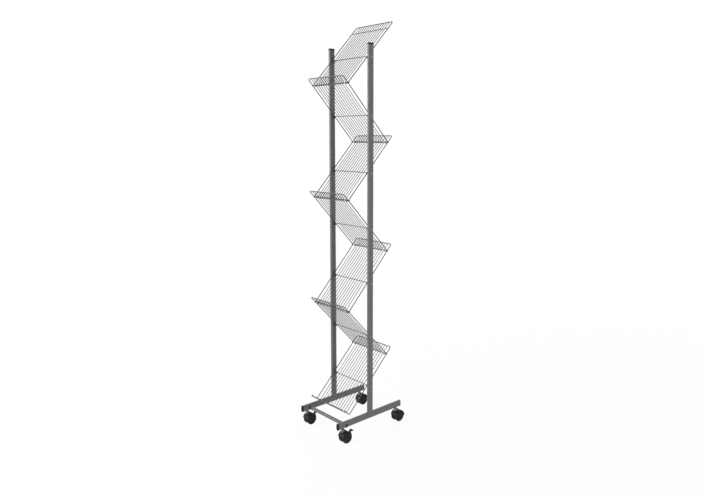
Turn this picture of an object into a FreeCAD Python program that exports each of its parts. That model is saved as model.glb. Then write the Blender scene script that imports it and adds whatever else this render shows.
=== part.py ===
"""A periodical display rack on casters, as a parametric document in millimetres.

Two upright tubes stand on two feet, and a crossbar ties the feet together at the front.
Seven welded wire grilles hang between the uprights and lean back and forth in turn, so
that each V between two of them holds periodicals, four facing the front and three facing
the back. Four twin-wheel casters carry the rack, and the front two have brake pedals.

X runs along the rack from left to right, Y from front to back and Z up. The origin is on
the floor under the middle of the rack.
"""
import FreeCAD, Part
import math
import os
import re
import Sketcher

# The driving dimensions. Every length is in millimetres and every angle in degrees.
SIZES = {
    # flat-oval tube of the uprights and the feet
    "tube_width": 15.0,
    "tube_depth": 30.0,
    "tube_wall": 1.5,
    # feet, uprights and their plastic caps
    "foot_length": 376.0,
    "upright_over_fixing": 51.5,
    "cope_trim": 1.5,
    "foot_cap_flange": 3.0,
    "post_cap_height": 5.0,
    "cap_proud": 0.6,
    "cap_plug": 14.0,
    "cap_play": 0.15,
    "cap_edge": 1.2,
    # crossbar and its fixings
    "crossbar_dia": 15.0,
    "crossbar_wall": 1.5,
    "crossbar_inset": 43.0,
    "crossbar_lift": 3.0,
    "washer_dia": 19.0,
    "washer_thickness": 2.0,
    "crossbar_plug": 15.0,
    "crossbar_bolt": 6.0,
    "crossbar_bolt_head": 13.0,
    "crossbar_bolt_crown": 3.5,
    "crossbar_bolt_bite": 12.0,
    "bolt_play": 0.1,
    # wire grilles
    "grille_count": 7,
    "grille_width": 230.0,
    "border_wire": 4.0,
    "inner_wire": 3.0,
    "inner_count": 13,
    "edge_gap": 22.0,
    "weld_depth": 0.3,
    "corner_radius": 10.0,
    "wire_overhang": 1.5,
    "stop_length": 38.0,
    "tray_bend_radius": 8.0,
    # how the grilles stand
    "junction_depth": 229.0,
    "shelf_rise": 240.0,
    "tray_rise": 226.5,
    "tray_height": 112.0,
    "seat_gap": 0.1,
    "side_play": 1.5,
    # clips where two grilles meet
    "clip_width": 10.0,
    "clip_wall": 1.6,
    "clip_play": 0.15,
    "clip_side_play": 0.3,
    # screws and saddles that hold the grilles to the uprights
    "fixing_drop": 10.0,
    "fixing_screw": 4.0,
    "fixing_head": 8.5,
    "fixing_head_height": 2.6,
    "screw_tip": 1.0,
    "saddle_length": 13.0,
    "saddle_width": 11.0,
    "saddle_wall": 2.0,
    "saddle_play": 0.1,
    # casters
    "caster_height": 68.0,
    "stem_inset": 25.5,
    "stem_dia": 8.0,
    "stem_bush": 12.0,
    "stem_hole_play": 0.1,
    "collar_across": 13.0,
    "stem_boss_dia": 12.0,
    "stem_boss_height": 10.0,
    "swivel_gap": 0.3,
    "wheel_dia": 50.0,
    "wheel_width": 11.0,
    "wheel_shoulder": 2.0,
    "wheel_rim": 6.0,
    "wheel_slope": 2.0,
    "wheel_dish": 2.0,
    "wheel_hub": 13.0,
    "wheel_cover": 1.5,
    "trail": 16.0,
    "running_play": 0.05,
    "axle_dia": 6.0,
    "web_width": 13.0,
    "web_radius": 23.0,
    "web_gap": 0.5,
    "arch_gap": 1.2,
    "hood_wall": 2.3,
    "hood_skirt": 18.0,
    "hood_front": 165.0,
    "hood_rear": -10.0,
    "boss_height": 52.5,
    "socket_floor": 22.0,
    # brake pedals of the front casters
    "brake_hood_rear": 75.0,
    "pedal_lift": 2.0,
    "pedal_wall": 3.2,
    "pedal_width": 19.0,
    "pedal_top": 30.0,
    "pedal_root": 5.0,
    "pedal_tail_root": 28.0,
    "pedal_tail": 15.0,
    "pedal_tail_slope": 75.0,
    "pedal_hook": 15.5,
    "pedal_hook_width": 15.0,
    "pedal_hook_slope": -37.0,
    "pedal_pin": 4.0,
    "pedal_pin_angle": 25.0,
    "pedal_pin_reach": 16.0,
    "pedal_lug": 8.0,
    "pedal_lug_radius": 4.5,
    "pedal_neck": 7.0,
    "pedal_slot_play": 0.3,
    "pedal_slot_radius": 6.5,
}

doc = FreeCAD.newDocument("display_rack")


def write_sheet():
    """Put each driving dimension in a cell with an alias of its own."""
    sheet = doc.addObject("Spreadsheet::Sheet", "sizes")
    for row, (alias, value) in enumerate(SIZES.items(), start=1):
        sheet.set(f"A{row}", alias.replace("_", " "))
        sheet.set(f"B{row}", str(value))
        sheet.setAlias(f"B{row}", alias)
    doc.recompute()
    return sheet


sheet = write_sheet()
GRILLES = int(sheet.grille_count)
INNER_WIRES = int(sheet.inner_count)

# Wires are drawn with eight flats, which keeps every weld of a grille a flat one.
WIRE_SIDES = 8
HALF_SIDE = 180.0 / WIRE_SIDES

# ---------------------------------------------------------------------------------------
# Formulas: each is worked out by the document from the sheet's aliases.
# ---------------------------------------------------------------------------------------
POST_X = "(grille_width / 2 + border_wire / 2 + side_play + tube_width / 2)"
POST_INNER = f"({POST_X} - tube_width / 2)"
POST_OUTER = f"({POST_X} + tube_width / 2)"
FOOT_MIDDLE = "(caster_height + tube_depth / 2)"
FOOT_TOP = "(caster_height + tube_depth)"
CROSSBAR_Y = "(foot_length / 2 - crossbar_inset)"
CROSSBAR_Z = "(caster_height + crossbar_dia / 2 + crossbar_lift)"
STEM_Y = "(foot_length / 2 - stem_inset)"
STEM_BOSS_FOOT = "(caster_height - stem_boss_height)"

BORDER_LIFT = "((border_wire - inner_wire) / 2)"
CROSS_DROP = "(inner_wire - weld_depth)"
EDGE_DROP = "((inner_wire + border_wire) / 2 - weld_depth)"
STAND_OFF = f"(border_wire + {BORDER_LIFT} + seat_gap)"
LAST_WIRE_X = "(grille_width / 2 - edge_gap)"
STOP_LEAN = "atan2(shelf_rise; junction_depth)"

AXLE_Z = "(wheel_dia / 2)"
ARCH_RADIUS = "(wheel_dia / 2 + arch_gap)"
HOOD_RADIUS = "(wheel_dia / 2 + arch_gap + hood_wall)"
WHEEL_FACE = "(web_width / 2 + web_gap)"
HOOD_WIDTH = "(web_width + 2 * web_gap + 2 * wheel_width)"
PEDAL_RADIUS = "(wheel_dia / 2 + pedal_lift)"
PIN_Y = "(trail + pedal_pin_reach * cos(pedal_pin_angle))"
PIN_Z = "(wheel_dia / 2 + pedal_pin_reach * sin(pedal_pin_angle))"


def formula(text):
    """Point every alias in a formula at the sheet."""
    return re.sub(r"[a-z_]+", lambda word: f"sizes.{word[0]}" if word[0] in SIZES else word[0], text)


def worth(text):
    """What a formula comes to as the sheet stands. Sketches are first drawn at such places."""
    value = sheet.evalExpression(formula(text))
    return float(getattr(value, "Value", value))


def bind(thing, formulas):
    """Bind properties of an object to formulas."""
    for name, text in formulas.items():
        thing.setExpression(name, formula(text))


def at(x="0", y="0", z="0", turn="0", pitch="0", lean="0"):
    """A placement: lean about X, then pitch about Y, then turn about Z, then the shift."""
    return f"placement(vector({x}; {y}; {z}); rotation({turn}; {pitch}; {lean}))"


def across(x="0", y="0", z="0", start="0"):
    """A placement that lays a primitive's height along +X, its own X at an angle from +Y."""
    return at(x, y, z, turn="90", pitch=f"-({start})", lean="90")


def along(x="0", y="0", z="0", spin="0"):
    """A placement that lays a primitive's height along +Y."""
    return at(x, y, z, pitch=spin, lean="-90")


# ---------------------------------------------------------------------------------------
# Ways to make a feature
# ---------------------------------------------------------------------------------------
def new_body(label, placement=None):
    """An empty body with a label of its own."""
    body = doc.addObject("PartDesign::Body", label)
    body.Label = label
    if placement:
        bind(body, {"Placement": placement})
    return body


def origin_part(body, role):
    """One of the body's own origin planes or axes."""
    return next(part for part in body.Origin.OriginFeatures if part.Role == role)


def add(body, kind, name, placement, formulas, **plain):
    """Add a primitive feature to a body, or cut one from it, and make it the tip."""
    feature = body.newObject("PartDesign::" + kind, name)
    for key, value in plain.items():
        setattr(feature, key, value)
    bind(feature, formulas)
    bind(feature, {"Placement": placement})
    body.Tip = feature
    return feature


def wire(body, name, placement, thickness, length):
    """A straight length of wire."""
    size = {"Circumradius": f"{thickness} / 2 / cos({HALF_SIDE})", "Height": length}
    return add(body, "AdditivePrism", name, placement, size, Polygon=WIRE_SIDES)


def sketch(body, plane, name, offset="0"):
    """A sketch on one of the body's origin planes, moved off it along its normal."""
    drawing = body.newObject("Sketcher::SketchObject", name)
    drawing.AttachmentSupport = (origin_part(body, plane), [""])
    drawing.MapMode = "FlatFace"
    bind(drawing, {"AttachmentOffset.Base.z": offset})
    return drawing


def fix(drawing, constraint, name, text):
    """Add a dimension to a sketch and bind it to a formula."""
    index = drawing.addConstraint(constraint)
    drawing.renameConstraint(index, name)
    bind(drawing, {f"Constraints.{name}": text})


def fix_point(drawing, item, end, name, x=None, y=None):
    """Hold a point of a sketch across or up from the origin, or both, by formulas."""
    drawn = drawing.getPoint(item, end)
    if x is not None:
        fix(drawing, Sketcher.Constraint("DistanceX", -1, 1, item, end, drawn.x), name + "_x", x)
    if y is not None:
        fix(drawing, Sketcher.Constraint("DistanceY", -1, 1, item, end, drawn.y), name + "_y", y)


def polygon(drawing, corners):
    """Draw a closed outline through corners, each held by two formulas."""
    count = len(corners)
    drawn = [FreeCAD.Vector(worth(x), worth(y), 0) for x, y in corners]
    for i in range(count):
        drawing.addGeometry(Part.LineSegment(drawn[i], drawn[(i + 1) % count]))
    for i in range(count):
        drawing.addConstraint(Sketcher.Constraint("Coincident", i, 2, (i + 1) % count, 1))
    for i, (x, y) in enumerate(corners):
        fix_point(drawing, i, 1, f"corner_{i}", x, y)


def wire_section(drawing, x, y, thickness):
    """The eight-sided section of a wire that is to be bent."""
    reach = f"{thickness} / 2 / cos({HALF_SIDE})"
    angles = [HALF_SIDE + 2 * HALF_SIDE * side for side in range(WIRE_SIDES)]
    polygon(drawing, [(f"{x} + {reach} * cos({angle})", f"{y} + {reach} * sin({angle})") for angle in angles])


def square_on(drawing, arc, ends):
    """Put each end of an arc level with its centre, or straight above or below it."""
    for end, way in ends.items():
        drawing.addConstraint(Sketcher.Constraint(way, arc, end, arc, 3))


def joined(drawing, *ends):
    """Join pairs of ends, each given as item, end, item, end."""
    for pair in ends:
        drawing.addConstraint(Sketcher.Constraint("Coincident", *pair))


def flat_oval(drawing, width, depth, middle="0"):
    """Draw a flat oval: two straight sides joined by half rounds, its long way up the sketch."""
    top_arc = drawing.GeometryCount
    left_side, bottom_arc, right_side = top_arc + 1, top_arc + 2, top_arc + 3
    reach = f"(({depth}) - ({width})) / 2"
    radius = worth(f"({width}) / 2")
    top = FreeCAD.Vector(0, worth(f"{middle} + {reach}"), 0)
    bottom = FreeCAD.Vector(0, worth(f"{middle} - {reach}"), 0)
    up = FreeCAD.Vector(0, 0, 1)
    side = FreeCAD.Vector(radius, 0, 0)
    drawing.addGeometry(Part.ArcOfCircle(Part.Circle(top, up, radius), 0, math.pi))
    drawing.addGeometry(Part.LineSegment(top - side, bottom - side))
    drawing.addGeometry(Part.ArcOfCircle(Part.Circle(bottom, up, radius), math.pi, 2 * math.pi))
    drawing.addGeometry(Part.LineSegment(bottom + side, top + side))
    joined(drawing, (top_arc, 2, left_side, 1), (left_side, 2, bottom_arc, 1),
           (bottom_arc, 2, right_side, 1), (right_side, 2, top_arc, 1))
    for arc, sign, name in ((top_arc, "+", "top"), (bottom_arc, "-", "bottom")):
        square_on(drawing, arc, {1: "Horizontal", 2: "Horizontal"})
        drawing.addConstraint(Sketcher.Constraint("PointOnObject", arc, 3, -2))
        fix(drawing, Sketcher.Constraint("Radius", arc, radius), f"radius_{arc}", f"({width}) / 2")
        fix_point(drawing, arc, 3, f"{name}_{arc}", y=f"{middle} {sign} {reach}")


def pad(body, drawing, length, name, symmetric=False, reverse=False):
    """Extrude a sketch into the body."""
    feature = body.newObject("PartDesign::Pad", name)
    feature.Profile = drawing
    feature.SideType = "Symmetric" if symmetric else "One side"
    feature.Reversed = reverse
    bind(feature, {"Length": length})
    body.Tip = feature
    return feature


def cut(body, drawing, length, name):
    """Cut a sketch through the body, half of the length each way, and see that it cuts."""
    doc.recompute()
    before = body.Shape.Volume
    feature = body.newObject("PartDesign::Pocket", name)
    feature.Profile = drawing
    feature.SideType = "Symmetric"
    bind(feature, {"Length": length})
    body.Tip = feature
    doc.recompute()
    if not body.Shape.Volume < before:
        raise RuntimeError(f"{name} cuts nothing from {body.Label}")
    return feature


def bend(body, section, spine, name):
    """Run a wire's section along its path."""
    feature = body.newObject("PartDesign::AdditivePipe", name)
    feature.Profile = section
    feature.Spine = (spine, [f"Edge{i + 1}" for i in range(spine.GeometryCount)])
    body.Tip = feature
    return feature


def row(body, feature, axis, length, count, name, reverse=False):
    """Repeat a feature in a row along one of the body's axes."""
    pattern = body.newObject("PartDesign::LinearPattern", name)
    pattern.Originals = [feature]
    pattern.Direction = (origin_part(body, axis), [""])
    pattern.Reversed = reverse
    bind(pattern, {"Length": length})
    pattern.Occurrences = count
    body.Tip = pattern
    return pattern


def mirror(body, features, name):
    """Repeat features on the other side of the body's YZ plane."""
    feature = body.newObject("PartDesign::Mirrored", name)
    feature.Originals = features
    feature.MirrorPlane = (origin_part(body, "YZ_Plane"), [""])
    body.Tip = feature
    return feature


def cylinder(name, radius, height, placement):
    """A plain cylinder outside any body."""
    shape = doc.addObject("Part::Cylinder", name)
    bind(shape, {"Radius": radius, "Height": height, "Placement": placement})
    return shape


def ring(label, outer, inner, height, placement):
    """A tube, bush or washer: one cylinder cut from another."""
    whole = doc.addObject("Part::Cut", label)
    whole.Base = cylinder(label + "_outside", outer, height, at())
    whole.Tool = cylinder(label + "_bore", inner, height, at())
    whole.Label = label
    bind(whole, {"Placement": placement})
    return whole


def copy_of(master, placement):
    """The same piece at another place."""
    link = doc.addObject("App::Link", master.Name + "_copy")
    link.LinkedObject = master
    bind(link, {"Placement": placement})
    return link


def group(label, pieces):
    """Identical small pieces that share one node, each a solid of its own."""
    compound = doc.addObject("Part::Compound", label)
    compound.Label = label
    compound.Links = pieces
    return compound


# ---------------------------------------------------------------------------------------
# Where the grilles stand. Grille 1 is the top one; odd ones lean towards the back.
# ---------------------------------------------------------------------------------------
def rise(number):
    """How far a grille climbs from its foot to its second cross wire."""
    return "tray_rise" if number == GRILLES else "shelf_rise"


def lean(number):
    """The grille's angle from the floor."""
    return f"atan2({rise(number)}; junction_depth)"


def slope(number):
    """The grille's length along its slope, between the two junctions it spans."""
    return f"hypot({rise(number)}; junction_depth)"


def hinge_height(number):
    """Height of the grille's second cross wire, where the grille above rests."""
    return f"(tray_height + tray_rise + {GRILLES - number} * shelf_rise)"


def fixing_height(number):
    """Height of the screws that hold the grille at its middle."""
    return f"({hinge_height(number)} - {rise(number)} / 2 - fixing_drop)"


def fixing_along(number):
    """How far down the slope, from the second cross wire, the middle cross wire lies."""
    return f"({slope(number)} / 2 + fixing_drop * sin({lean(number)}))"


def grille_frame(number):
    """A grille is drawn flat, X across and Y up its slope, from its second cross wire."""
    to_back = number % 2 == 1
    y = "junction_depth / 2" if to_back else "-junction_depth / 2"
    return at("0", y, hinge_height(number), turn="0" if to_back else "180", lean=lean(number))


# ---------------------------------------------------------------------------------------
# Grilles
# ---------------------------------------------------------------------------------------
def border_path(body, foot):
    """The border wire's path: up one side, round the top corners and down the other."""
    path = sketch(body, "XY_Plane", "border_path", BORDER_LIFT)
    point = FreeCAD.Vector
    up = point(0, 0, 1)
    radius, low, top = worth("corner_radius"), worth(foot), worth("stop_length")
    right = worth("grille_width / 2")
    inner, shoulder = right - radius, top - radius
    left_turn = Part.Circle(point(-inner, shoulder, 0), up, radius)
    right_turn = Part.Circle(point(inner, shoulder, 0), up, radius)
    path.addGeometry(Part.LineSegment(point(-right, low, 0), point(-right, shoulder, 0)))
    path.addGeometry(Part.ArcOfCircle(left_turn, math.pi / 2, math.pi))
    path.addGeometry(Part.LineSegment(point(-inner, top, 0), point(inner, top, 0)))
    path.addGeometry(Part.ArcOfCircle(right_turn, 0, math.pi / 2))
    path.addGeometry(Part.LineSegment(point(right, shoulder, 0), point(right, low, 0)))
    joined(path, (0, 2, 1, 2), (1, 1, 2, 1), (2, 2, 3, 2), (3, 1, 4, 1))
    for side in (0, 4):
        path.addConstraint(Sketcher.Constraint("Vertical", side))
    square_on(path, 1, {1: "Vertical", 2: "Horizontal"})
    square_on(path, 3, {1: "Horizontal", 2: "Vertical"})
    for corner, sign in ((1, "-"), (3, "")):
        fix(path, Sketcher.Constraint("Radius", corner, radius), f"radius_{corner}", "corner_radius")
        fix_point(path, corner, 3, f"corner_{corner}", f"{sign}(grille_width / 2 - corner_radius)",
                  "stop_length - corner_radius")
    fix_point(path, 0, 1, "left_foot", y=foot)
    fix_point(path, 4, 2, "right_foot", y=foot)
    return path


def border(body, foot):
    """The border wire, bent from one length."""
    path = border_path(body, foot)
    section = sketch(body, "XZ_Plane", "border_section", f"-({foot})")
    wire_section(section, "-grille_width / 2", BORDER_LIFT, "border_wire")
    return bend(body, section, path, "border")


def cross_wire(body, name, y, z, thickness):
    """A wire from one side of the border to the other, welded under the long wires."""
    start = "-(grille_width + border_wire) / 2"
    return wire(body, name, across(start, y, z, str(HALF_SIDE)), thickness, "grille_width + border_wire")


def common_wires(body, number, foot):
    """What every grille has: the border, the second cross wire and the middle one."""
    border(body, foot)
    cross_wire(body, "second_cross_wire", "0", f"-{CROSS_DROP}", "inner_wire")
    cross_wire(body, "middle_cross_wire", f"-{fixing_along(number)}", f"-{CROSS_DROP}", "inner_wire")


def shelf_grille(number):
    """A flat grille, whose foot rests on the grille below."""
    body = new_body(f"grille_{number}", grille_frame(number))
    edge = f"-({slope(number)} - {STAND_OFF})"
    foot = f"{edge} - wire_overhang"
    common_wires(body, number, foot)
    cross_wire(body, "edge_wire", edge, f"-{EDGE_DROP}", "border_wire")
    first = wire(body, "long_wire", along(f"-{LAST_WIRE_X}", foot, "0", str(HALF_SIDE)),
                 "inner_wire", f"stop_length - ({foot})")
    row(body, first, "X_Axis", f"2 * {LAST_WIRE_X}", INNER_WIRES, "long_wires")
    return body


# The tray's wires turn through this angle, and start to bend this far along the slope.
TRAY_FOLD = f"({lean(GRILLES)} + {STOP_LEAN})"
BEND_START = f"(tray_bend_radius * tan({TRAY_FOLD} / 2) - {slope(GRILLES)})"


def lip_point(reach, out):
    """A point of the tray's lip: so far from the fold line, and so far outside its wires."""
    fold = TRAY_FOLD
    y = f"-{slope(GRILLES)} - ({reach}) * cos({fold}) - ({out}) * sin({fold})"
    z = f"({reach}) * sin({fold}) - ({out}) * cos({fold})"
    return y, z


def tray_path(body, name, x, start, lift):
    """A wire's path down the tray, round the bend and up the lip."""
    path = sketch(body, "YZ_Plane", name, x)
    radius = f"(tray_bend_radius - {lift})"
    tip = lip_point("stop_length", f"-({lift})")
    level, straight_down = worth(lift), 1.5 * math.pi
    middle = FreeCAD.Vector(worth(BEND_START), worth("tray_bend_radius"), 0)
    circle = Part.Circle(middle, FreeCAD.Vector(0, 0, 1), worth(radius))
    arc = Part.ArcOfCircle(circle, straight_down - math.radians(worth(TRAY_FOLD)), straight_down)
    first = FreeCAD.Vector(worth(start), level, 0)
    last = FreeCAD.Vector(worth(tip[0]), worth(tip[1]), 0)
    path.addGeometry(Part.LineSegment(first, arc.EndPoint))
    path.addGeometry(arc)
    path.addGeometry(Part.LineSegment(arc.StartPoint, last))
    joined(path, (0, 2, 1, 2), (1, 1, 2, 1))
    path.addConstraint(Sketcher.Constraint("Horizontal", 0))
    square_on(path, 1, {2: "Vertical"})
    fix(path, Sketcher.Constraint("Radius", 1, worth(radius)), "bend", radius)
    fix_point(path, 1, 3, "bend_middle", BEND_START, "tray_bend_radius")
    fix_point(path, 1, 1, "bend_end", y=f"tray_bend_radius - {radius} * cos({TRAY_FOLD})")
    fix_point(path, 0, 1, "start", x=start)
    fix_point(path, 2, 2, "lip_end", *tip)
    return path


def tray_wire(body, name, x, start, lift, thickness):
    """A wire bent along the tray's path, at one place across the tray."""
    path = tray_path(body, name + "_path", x, start, lift)
    section = sketch(body, "XZ_Plane", name + "_section", f"-({start})")
    wire_section(section, x, lift, thickness)
    return bend(body, section, path, name)


def tray_grille():
    """The lowest grille, whose front end is bent up as the lip of the bottom tray."""
    body = new_body(f"grille_{GRILLES}", grille_frame(GRILLES))
    side_foot = f"({BEND_START} + wire_overhang)"
    common_wires(body, GRILLES, side_foot)
    side = tray_wire(body, "side_wire", "-grille_width / 2", side_foot, BORDER_LIFT, "border_wire")
    mirror(body, [side], "side_wires")
    cross_wire(body, "lip_wire", *lip_point("stop_length - border_wire / 2", EDGE_DROP), "border_wire")
    first = tray_wire(body, "long_wire", f"-{LAST_WIRE_X}", "stop_length", "0", "inner_wire")
    row(body, first, "X_Axis", f"2 * {LAST_WIRE_X}", INNER_WIRES, "long_wires")
    return body


# ---------------------------------------------------------------------------------------
# What holds the grilles: clips at the junctions, saddles and screws at the uprights
# ---------------------------------------------------------------------------------------
def junction_clip(number):
    """A band round the foot of one grille and the second cross wire of the next."""
    body = new_body(f"clip_{number}_right")
    fold = f"({lean(number)} + {lean(number + 1)})"
    y = f"(-{STAND_OFF} * cos({fold}) - {EDGE_DROP} * sin({fold}))"
    z = f"({STAND_OFF} * sin({fold}) - {EDGE_DROP} * cos({fold}) + {CROSS_DROP})"
    angle = f"atan2({z}; {y})"
    wrap = "(inner_wire / 2 + clip_play + clip_wall)"
    round_end = {"Height": "clip_width", "Radius": wrap}
    big_end = {"Height": "clip_width", "Radius": "border_wire / 2 + clip_play + clip_wall"}
    neck = {"Height": "clip_width", "Length": f"hypot({z}; {y})", "Width": f"2 * {wrap}"}
    near = "-clip_width / 2"
    add(body, "AdditiveCylinder", "small_end", across(near), round_end)
    add(body, "AdditiveBox", "neck",
        across(near, f"{wrap} * sin({angle})", f"-{wrap} * cos({angle})", angle), neck)
    add(body, "AdditiveCylinder", "big_end", across(near, y, z), big_end)
    small_hole = {"Height": "clip_width", "Radius": f"inner_wire / 2 / cos({HALF_SIDE}) + clip_play"}
    big_hole = {"Height": "clip_width", "Radius": f"border_wire / 2 / cos({HALF_SIDE}) + clip_play"}
    add(body, "SubtractiveCylinder", "small_hole", across(near), small_hole)
    add(body, "SubtractiveCylinder", "big_hole", across(near, y, z), big_hole)
    return body


def junction_clips():
    """Two clips at each junction, each beside the last long wire."""
    clips = []
    x = f"{LAST_WIRE_X} + inner_wire / 2 + clip_side_play + clip_width / 2"
    for number in range(1, GRILLES):
        clip = junction_clip(number)
        below = f"grille_{number + 1}.Placement"
        bind(clip, {"Placement": f"{below} * {at(x, '0', '-' + CROSS_DROP)}"})
        other = copy_of(clip, f"{below} * {at('-(' + x + ')', '0', '-' + CROSS_DROP)}")
        clips += [clip, other]
    return group("junction_clips", clips)


def saddle(number):
    """A block that cups the middle cross wire and takes the screw from the upright."""
    body = new_body(f"saddle_{number}_right")
    top = "(-inner_wire / 2 - seat_gap)"
    axis = f"(-fixing_drop * cos({lean(number)}))"
    bottom = f"({axis} - fixing_screw / 2 - saddle_wall)"
    start = f"({POST_INNER} - saddle_length)"
    block = {"Length": "saddle_length", "Width": "saddle_width", "Height": f"{top} - {bottom}"}
    add(body, "AdditiveBox", "block", at("0", "-saddle_width / 2", bottom), block)
    slot_width = f"(inner_wire / cos({HALF_SIDE}) + 2 * saddle_play)"
    slot_floor = f"(-{CROSS_DROP} - inner_wire / 2 - saddle_play)"
    slot = {"Length": "saddle_length", "Width": slot_width, "Height": f"{top} - {slot_floor}"}
    add(body, "SubtractiveBox", "slot", at("0", f"-{slot_width} / 2", slot_floor), slot)
    bore = {"Height": "saddle_length", "Radius": "fixing_screw / 2 + saddle_play / 2"}
    add(body, "SubtractiveCylinder", "bore", across("0", "0", axis), bore)
    return body, start


def saddles():
    """Two saddles to each grille, against the uprights."""
    blocks = []
    for number in range(1, GRILLES + 1):
        block, start = saddle(number)
        own = f"grille_{number}.Placement"
        y = f"-{fixing_along(number)}"
        bind(block, {"Placement": f"{own} * {at(start, y)}"})
        other = copy_of(block, f"{own} * {at(f'-({start} + saddle_length)', y)}")
        blocks += [block, other]
    return group("grille_saddles", blocks)


def screw(label, radius, length, head_radius, head_height):
    """A screw along X whose head stands outwards from the origin."""
    whole = doc.addObject("Part::Fuse", label)
    whole.Base = cylinder(label + "_shank", radius, length, across(f"-({length})"))
    crown = doc.addObject("Part::Fillet", label + "_head")
    crown.Base = cylinder(label + "_disc", head_radius, head_height, across())
    doc.recompute()
    rim = [i + 1 for i, edge in enumerate(crown.Base.Shape.Edges)
           if edge.Closed and edge.CenterOfMass.x > 0.1]
    rounding = float(crown.Base.Height) / 2
    crown.Edges = [(i, rounding, rounding) for i in rim]
    whole.Tool = crown
    return whole


def grille_screws():
    """One screw through each upright at the middle of each grille."""
    length = f"(tube_width + saddle_length + screw_tip)"
    master = screw("fixing_screw", "fixing_screw / 2", length, "fixing_head / 2", "fixing_head_height")
    screws = []
    for number in range(1, GRILLES + 1):
        height = fixing_height(number)
        screws.append(copy_of(master, at(POST_OUTER, "0", height)))
        screws.append(copy_of(master, at(f"-{POST_OUTER}", "0", height, turn="180")))
    return group("grille_screws", screws)


# ---------------------------------------------------------------------------------------
# Frame
# ---------------------------------------------------------------------------------------
def upright(side, sign):
    """A flat-oval tube, coped to sit on the round top of its foot."""
    body = new_body(f"post_{side}", at(f"{sign} * {POST_X}"))
    start = f"({FOOT_TOP} - tube_width / 2 + cope_trim)"
    section = sketch(body, "XY_Plane", "tube_section", start)
    flat_oval(section, "tube_width", "tube_depth")
    flat_oval(section, "tube_width - 2 * tube_wall", "tube_depth - 2 * tube_wall")
    top = f"({fixing_height(1)} + upright_over_fixing)"
    pad(body, section, f"{top} - {start}", "tube")
    cope = sketch(body, "XZ_Plane", "foot_outline")
    flat_oval(cope, "tube_width", "tube_depth", FOOT_MIDDLE)
    cut(body, cope, "2 * tube_depth", "cope")
    hole = sketch(body, "YZ_Plane", "fixing_place")
    screw_hole(hole, "0", fixing_height(1), "fixing_screw / 2 + bolt_play")
    first = cut(body, hole, "2 * tube_width", "fixing_hole")
    row(body, first, "Z_Axis", f"{GRILLES - 2} * shelf_rise", GRILLES - 1, "fixing_holes", reverse=True)
    last = sketch(body, "YZ_Plane", "tray_fixing_place")
    screw_hole(last, "0", fixing_height(GRILLES), "fixing_screw / 2 + bolt_play")
    cut(body, last, "2 * tube_width", "tray_fixing_hole")
    return body


def screw_hole(drawing, x, y, radius):
    """A round hole at a place given by two formulas."""
    middle = FreeCAD.Vector(worth(x), worth(y), 0)
    index = drawing.addGeometry(Part.Circle(middle, FreeCAD.Vector(0, 0, 1), worth(radius)))
    fix(drawing, Sketcher.Constraint("Radius", index, worth(radius)), f"hole_{index}", radius)
    fix_point(drawing, index, 3, f"hole_{index}", x, y)


def foot(side, sign):
    """A flat-oval tube along Y, bosses welded under it for the casters, and its bolt hole."""
    body = new_body(f"foot_{side}", at(f"{sign} * {POST_X}"))
    outside = sketch(body, "XZ_Plane", "tube_outside")
    flat_oval(outside, "tube_width", "tube_depth", FOOT_MIDDLE)
    pad(body, outside, "foot_length", "tube", symmetric=True)
    boss = {"Radius": "stem_boss_dia / 2", "Height": "stem_boss_height + tube_width / 2"}
    for end, way in (("front", "-"), ("rear", "")):
        add(body, "AdditiveCylinder", f"{end}_boss", at(y=way + STEM_Y, z=STEM_BOSS_FOOT), boss)
    inside = sketch(body, "XZ_Plane", "tube_inside")
    flat_oval(inside, "tube_width - 2 * tube_wall", "tube_depth - 2 * tube_wall", FOOT_MIDDLE)
    cut(body, inside, "foot_length", "tube_bore")
    stems = sketch(body, "XY_Plane", "stem_places", "caster_height")
    for way in ("-", ""):
        screw_hole(stems, "0", way + STEM_Y, "stem_dia / 2 + stem_hole_play")
    cut(body, stems, "tube_width + 2 * stem_boss_height", "stem_holes")
    bolt = sketch(body, "YZ_Plane", "bolt_place")
    screw_hole(bolt, "-" + CROSSBAR_Y, CROSSBAR_Z, "crossbar_bolt / 2 + bolt_play")
    cut(body, bolt, "2 * tube_width", "bolt_hole")
    return body


def rounded_rim(body, z, name):
    """Round the outer rim of a cap at the height z of its own frame."""
    doc.recompute()
    base = body.Tip
    rim = [f"Edge{i + 1}" for i, edge in enumerate(base.Shape.Edges)
           if edge.BoundBox.ZLength < 0.01 and abs(edge.CenterOfMass.z - z) < 0.01]
    feature = body.newObject("PartDesign::Fillet", name)
    feature.Base = (base, rim)
    bind(feature, {"Radius": "cap_edge"})
    body.Tip = feature


def cap(label, placement, height, thickness):
    """A plastic end cap: a rounded flange and a plug that enters the tube below it."""
    body = new_body(label, placement)
    flange = sketch(body, "XY_Plane", "flange_section")
    flat_oval(flange, "tube_width + 2 * cap_proud", "tube_depth + 2 * cap_proud")
    pad(body, flange, height, "flange")
    rounded_rim(body, thickness, "rounded_flange")
    plug = sketch(body, "XY_Plane", "plug_section")
    inner = "2 * (tube_wall + cap_play)"
    flat_oval(plug, f"tube_width - {inner}", f"tube_depth - {inner}")
    pad(body, plug, "cap_plug", "plug", reverse=True)
    return body


def caps():
    """Caps on both uprights and on both ends of both feet."""
    made = []
    top = f"({fixing_height(1)} + upright_over_fixing)"
    for side, sign in (("left", "-1"), ("right", "1")):
        x = f"{sign} * {POST_X}"
        made.append(cap(f"post_cap_{side}", at(x, "0", top), "post_cap_height", sheet.post_cap_height))
        for end, way, tilt in (("front", "-1", "90"), ("rear", "1", "-90")):
            place = at(x, f"{way} * foot_length / 2", FOOT_MIDDLE, lean=tilt)
            made.append(cap(f"foot_cap_{end}_{side}", place, "foot_cap_flange", sheet.foot_cap_flange))
    return made


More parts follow.
